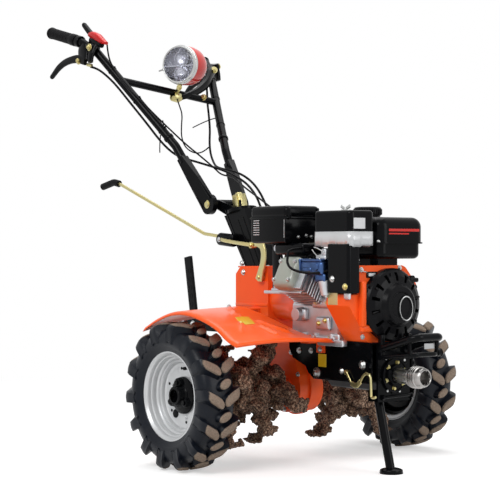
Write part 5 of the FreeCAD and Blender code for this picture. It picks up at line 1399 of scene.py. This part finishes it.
def make_lamp():
    """The round lamp: red shell, bright ring, ribbed glass over a mirror, clamp and brace."""
    centre = at(-558, 0, 1162)
    facing = Matrix.Rotation(math.radians(-66), 3, "Z")
    look = facing @ X
    slim = Matrix.Translation(centre) @ Matrix.Scale(0.93, 4) @ Matrix.Translation(-centre)
    bm = bmesh.new()
    turned(bm, [(-100, 0), (-98.5, 16), (-93, 32), (-83, 46), (-69, 57), (-52, 63.5), (-32, 66), (-4, 65.8),
        (6, 64.5), (6, 60)], centre, look, steps=72)
    turned(bm, [(-101.5, 0), (-101.5, 7), (-98, 9.5), (-96, 9.5)], centre, look, steps=24)
    bmesh.ops.transform(bm, matrix=slim, verts=bm.verts)
    piece("lamp_shell", bm, RED_PAINT, "handlebars", ["headlight_body"])
    bm = bmesh.new()
    turned(bm, [(5.5, 64), (6, 66.2), (10, 66.5), (13.5, 64.8), (14.5, 63), (19, 63.4), (22.5, 62.2),
        (24, 60), (23.5, 57), (20.5, 56), (19.5, 58)], centre, look, steps=72)
    side_way = Z.cross(look).normalized()
    if side_way.x > 0:
        side_way = -side_way
    left_edge = centre + look * 0.01 + side_way * 0.064 - Z * 0.012
    bar(bm, left_edge, left_edge + side_way * 0.02 - Z * 0.005, 3.4, 12, 2.6)
    drum(bm, left_edge, side_way, 6, 4, 6)
    bmesh.ops.transform(bm, matrix=slim, verts=bm.verts)
    piece("lamp_ring", bm, BRIGHT, "handlebars")
    bm = bmesh.new()
    turned(bm, [(19.5, 57), (10, 54), (-4, 46), (-16, 34), (-24, 20),
                (-26, 11), (-26, 0)], centre, look, steps=64)
    for lift in (0.021, -0.027):
        seat = centre + look * -0.01 + Z * lift
        turned(bm, [(12, 25), (13.5, 27), (12, 27.8), (2, 26.2), (-6, 17), (-8, 0)], seat, look, steps=40)
    soften(bm, block(bm, centre + look * 0.004 - Z * 0.004, (24, 104, 5), facing), 1, 1)
    drum(bm, centre - look * 0.012 + Z * 0.021, look, 5.5, 12, 16, 4)
    bmesh.ops.transform(bm, matrix=slim, verts=bm.verts)
    piece("lamp_mirror", bm, MIRROR, "handlebars")
    bm = bmesh.new()
    outer = [(20, 57.5), (22.5, 56), (23.8, 53), (25.2, 50), (24.8, 48), (26.8, 43), (26.4, 41), (28.4, 35),
        (28, 33), (29.8, 26), (29.4, 24), (30.8, 16), (31.4, 8), (31.6, 0)]
    inner = [(along - 3, radius) for along, radius in reversed(outer) if radius < 57.4]
    turned(bm, outer + inner + [(20, 54.5), (20, 57.5)], centre, look, steps=64)
    bmesh.ops.transform(bm, matrix=slim, verts=bm.verts)
    piece("lamp_glass", bm, LENS, "handlebars", ["headlight_lens"], sharp=50)
    bm = bmesh.new()
    foot = at(-614, 16, 1072)
    neck = at(-566, -1, 1098)
    lofted(bm, [foot + Z * 0.006, foot.lerp(neck, 0.4) + Z * 0.004, foot.lerp(neck, 0.8), neck + Z * 0.006],
           [(10, 5), (8.5, 4.5), (8.5, 5), (10, 6)], Z)
    hex_bolt(bm, neck + Vector((0.004, -0.006, -0.006)), Vector((0.5, -0.8, -0.1)), 6.2, 5)
    for sign in (-1, 1):
        hex_bolt(bm, foot + Vector((0.012, sign * 0.011 - 0.004, -0.01)), Vector((0.7, -0.6, -0.2)), 5.6, 4.8)
    turned(bm, [(-13, 11.2), (-13, 15), (-11, 16.2), (11, 16.2), (13, 15),
                (13, 11.2), (-13, 11.2)], foot - Z * 0.004, Vector((0.02, 1.0, -0.19)), steps=32)
    drum(bm, neck + Z * 0.004, Z, 12, 6, 20)
    piece("lamp_clamp", bm, ZINC, "handlebars", ["headlight_bracket"])
    bm = bmesh.new()
    lofted(bm, route((-604, 30, 1066), (-612, 68, 1078), (-630, 114, 1096), (-652, 162, 1124),
        (-676, 196, 1158), (-688, 214, 1176)), [(8, 7), (10, 8), (12, 9), (15, 10), (18, 11), (14, 11)], Z)
    piece("lamp_brace", bm, BLACK, "handlebars")
    bm = bmesh.new()
    hex_bolt(bm, at(-606, 118, 1072), Vector((0.6, -0.7, 0.3)), 7.5, 8)
    hex_bolt(bm, at(-672, 208, 1172), Vector((0.7, -0.5, 0.4)), 8.5, 9)
    piece("brace_bolts", bm, ZINC, "handlebars")


def make_swivel_details():
    """The zinc lock on the turning head, its slot and pivot caps, and the column's edges and bolts."""
    centre = middle("swivel_lock") + Vector((-0.004, 0, -0.01))
    lean = Matrix.Rotation(math.radians(-12), 3, "Y")
    bm = bmesh.new()
    body = block(bm, centre, (36, 30, 52), lean)
    soften(bm, body, 5, 3)
    wing = block(bm, centre + lean @ Vector((0, -0.0165, -0.002)), (22, 5, 44), lean)
    soften(bm, wing, 1.8, 2)
    drum(bm, centre + lean @ Vector((0, 0, 0.024)), lean @ Z, 10, 6, 24)
    piece("swivel_lock_block", bm, ZINC, "swivel", ["swivel_lock"])
    bm = bmesh.new()
    slot = block(bm, centre + lean @ Vector((0.0155, -0.012, -0.006)), (8, 6, 22), lean)
    soften(bm, slot, 1.5, 2)
    drum(bm, at(-334, -40, 721), -Y, 18, 7, 28)
    drum(bm, at(-334, 40, 721), Y, 18, 7, 28)
    piece("swivel_slots", bm, BLACK, "swivel")
    bm = bmesh.new()
    top_front, top_rear = at(-200, 0, 686), at(-297, 0, 708)
    low_front, low_rear = at(-120, 0, 538), at(-198, 0, 538)
    for sign in (-1, 1):
        for a, b, shift in ((top_front, low_front, -0.006), (top_rear, low_rear, 0.006)):
            bar(bm, a + Vector((shift, sign * 0.0312, -0.004)), b + Vector((shift, sign * 0.0312, 0.004)),
                1.8, 8)
        bar(bm, top_front + Vector((-0.03, sign * 0.0312, -0.012)),
            low_front + Vector((-0.03, sign * 0.0312, 0.004)), 1.4, 8)
    piece("column_ridges", bm, BLACK, "chassis")
    bm = bmesh.new()
    for y in (-22, 22):
        hex_bolt(bm, at(-196, y, 538), Z, 6.2, 5.5)
    hex_bolt(bm, at(-209, -31, 546), -Y, 6.2, 5)
    hex_bolt(bm, at(-209, 31, 546), Y, 6.2, 5)
    piece("column_bolts", bm, BRIGHT, "chassis")


def make_gear_linkage():
    """The guide tube on the column, the gear rod and the flat zinc strap that joins it to the gearbox."""
    bm = bmesh.new()
    a, b = at(-293, -48, 618), at(-227, -45, 612)
    turned(bm, [(0, 0), (0, 16), (3, 19), (60, 19), (66, 17.2), (68, 13), (68, 0)], a, b - a, steps=36)
    piece("guide_tube", bm, BLACK, "chassis", ["shift_guide"])
    bm = bmesh.new()
    drum(bm, at(-274, -66.0, 616), -Y, 7.5, 3, 18)
    drum(bm, at(-274, -68.5, 616), -Y, 4, 3, 6)
    piece("guide_bolt", bm, BRIGHT, "chassis")
    wire("gear_rod", [route((-292, -50, 619), (-262, -70, 615), (-200, -71, 608), (-136, -68, 601),
        (-108, -66, 598))], 5.6, ZINC, "chassis")
    bm = bmesh.new()
    lofted(bm, route((-114, -68, 600), (-90, -70, 604), (-66, -72, 598), (-56, -73, 576), (-58, -74, 548),
        (-68, -74, 522), (-76, -74, 500)), [(9, 5), (10, 4.5), (11, 4.2), (10, 4), (10.5, 4), (12, 4.2),
        (15, 4.5)], Y.cross(Z))
    drum(bm, at(-74, -62, 508), -Y, 11.5, 15, 28)
    drum(bm, at(-110, -62, 599), -Y, 8.5, 16, 20)
    hex_bolt(bm, at(-110, -77, 599), -Y, 6.2, 4)
    hex_bolt(bm, at(-74, -77, 508), -Y, 6.2, 2.5)
    piece("shift_strap", bm, ZINC, "chassis", ["shift_link"])


make_arm_details()
make_grips()
make_levers()
make_throttle()
make_lamp()
make_swivel_details()
make_gear_linkage()


# ---- control cables --------------------------------------------------------------------------

JOIN_CLUTCH, JOIN_THUMB, JOIN_BRAKE = (-363, 12, 826), (-361, 26, 810), (-369, 36, 828)


def make_cables():
    """The control cables and the lamp's lead, held from end to end."""
    wire("handle_cables", [route((-703, -243, 1152), (-678, -236, 1146), (-652, -217, 1122),
        (-629, -197, 1092), (-581, -172, 1030), (-533, -147, 969), (-492, -124, 912), (-468, -94, 876),
        (-446, -68, 862), (-426, -36, 852), (-398, 9, 836), JOIN_CLUTCH),
        (0.72, route((-652, -216, 1222), (-656, -210, 1185), (-631, -209, 1147), (-590, -194, 1090),
        (-547, -166, 1045), (-507, -140, 998), (-466, -110, 950), (-428, -78, 904), (-402, -38, 866),
        (-388, 2, 832), (-392, 28, 814), JOIN_THUMB)),
        route((-707, 201, 1150), (-670, 179, 1112), (-642, 160, 1060), (-606, 140, 1012), (-576, 122, 966),
        (-548, 99, 922), (-516, 80, 884), (-472, 60, 854), (-418, 33, 836), JOIN_BRAKE)], 3.5, SHEATH,
        "handlebars", ["cables_handle"],
        bend=("swivel", "handlebars", at(-375, 0, 830), at(-452, -20, 880)))
    wire("lamp_lead", [route((-604, 12, 1066), (-594, 15, 1040), (-584, 20, 1012), (-592, 22, 975),
        (-606, 32, 940), (-604, 46, 908), (-580, 64, 890), (-550, 76, 892), (-532, 85, 908))], 2.1, SHEATH,
        "handlebars")
    wire("engine_cables", [route(JOIN_CLUTCH, (-336, 14, 818), (-296, 20, 802), (-252, 22, 780),
        (-206, 18, 746), (-174, 14, 702), (-146, 10, 652), (-122, 8, 604), (-104, 8, 566), (-98, 8, 537)),
        (0.72, route(JOIN_THUMB, (-330, 24, 806), (-284, 10, 790), (-230, -4, 768), (-172, -8, 742),
        (-112, -8, 712), (-52, -8, 680), (8, -10, 648), (66, -10, 612), (118, -10, 578), (160, -16, 552),
        (196, -24, 540))), route(JOIN_BRAKE, (-334, 38, 822), (-284, 46, 802), (-236, 48, 768),
        (-196, 48, 718), (-166, 48, 662), (-140, 48, 606), (-122, 48, 566), (-116, 48, 537))], 3.5, SHEATH,
        "chassis", ["cables_engine"],
        bend=("chassis", "swivel", at(-214, 18, 770), at(-342, 14, 818)))


make_cables()


# ---- the room -----------------------------------------------------------------------------

def seen_rays(tree):
    """One where a ray comes from the camera, a reflection or glass, and nought for light on surfaces."""
    light = node_in(tree, "LightPath").outputs
    return maths(tree, "MAXIMUM", light["Is Camera Ray"],
                 maths(tree, "MAXIMUM", light["Is Glossy Ray"], light["Is Transmission Ray"]))


def make_floor():
    """A pale floor that fades into the white background away from the machine."""
    bpy.ops.mesh.primitive_plane_add(size=60, location=(0, 0, 0))
    floor = bpy.context.object
    floor.name = "floor"
    material, tree, shader = new_material("floor_white")
    place = node_in(tree, "VectorMath", {0: object_place(tree)}, operation="LENGTH")
    fade = node_in(tree, "MapRange", {"Value": place.outputs["Value"], "From Min": 1.0, "From Max": 2.6},
                   interpolation_type="SMOOTHSTEP")
    glow = maths(tree, "MULTIPLY_ADD", fade.outputs["Result"], 0.55, 0.45)
    plug(tree, shader, {"Base Color": blend_colours(tree, fade.outputs["Result"], (0.8, 0.8, 0.8, 1),
        (0, 0, 0, 1)), "Roughness": 1.0, "Specular IOR Level": 0.0, "Emission Color": (1, 1, 1, 1),
        "Emission Strength": maths(tree, "MULTIPLY", seen_rays(tree), glow)})
    floor.data.materials.append(material)


def make_world():
    """A white background that lights the machine less than it shows."""
    world = bpy.data.worlds.new("studio")
    bpy.context.scene.world = world
    world.use_nodes = True
    tree = world.node_tree
    strength = maths(tree, "MULTIPLY_ADD", seen_rays(tree), 0.55, 0.45)
    plug(tree, tree.nodes["Background"], {"Color": (1, 1, 1, 1), "Strength": strength})


CAMERA_FROM_AXLE, CAMERA_TURN = (3.263, -2.7066, 0.3872), 52.09


def area_light(name, place, target, size, watts):
    data = bpy.data.lights.new(name, "AREA")
    data.shape = "RECTANGLE"
    data.size, data.size_y = size
    data.energy = watts
    lamp = bpy.data.objects.new(name, data)
    bpy.context.scene.collection.objects.link(lamp)
    lamp.location = place
    lamp.rotation_euler = (Vector(target) - Vector(place)).to_track_quat("-Z", "Y").to_euler()


def make_camera():
    """A long level lens to the machine's front right."""
    data = bpy.data.cameras.new("camera")
    data.sensor_width = 36
    data.lens = 108
    data.clip_end = 100
    camera = bpy.data.objects.new("camera", data)
    bpy.context.scene.collection.objects.link(camera)
    camera.location = AXLE + Vector(CAMERA_FROM_AXLE)
    camera.rotation_euler = (math.radians(90), 0, math.radians(CAMERA_TURN))
    bpy.context.scene.camera = camera


make_floor()
make_world()
make_camera()
area_light("key_softbox", (1.6, -3.4, 3.0), (0.0, 0, 0.5), (2.4, 1.6), 100)
area_light("fill_softbox", (3.6, 1.2, 1.6), (0.1, 0, 0.5), (1.6, 2.2), 40)
area_light("top_softbox", (-0.4, 0.6, 3.6), (0, 0, 0.3), (2.6, 2.6), 60)
bpy.context.scene.view_settings.view_transform = "Standard"
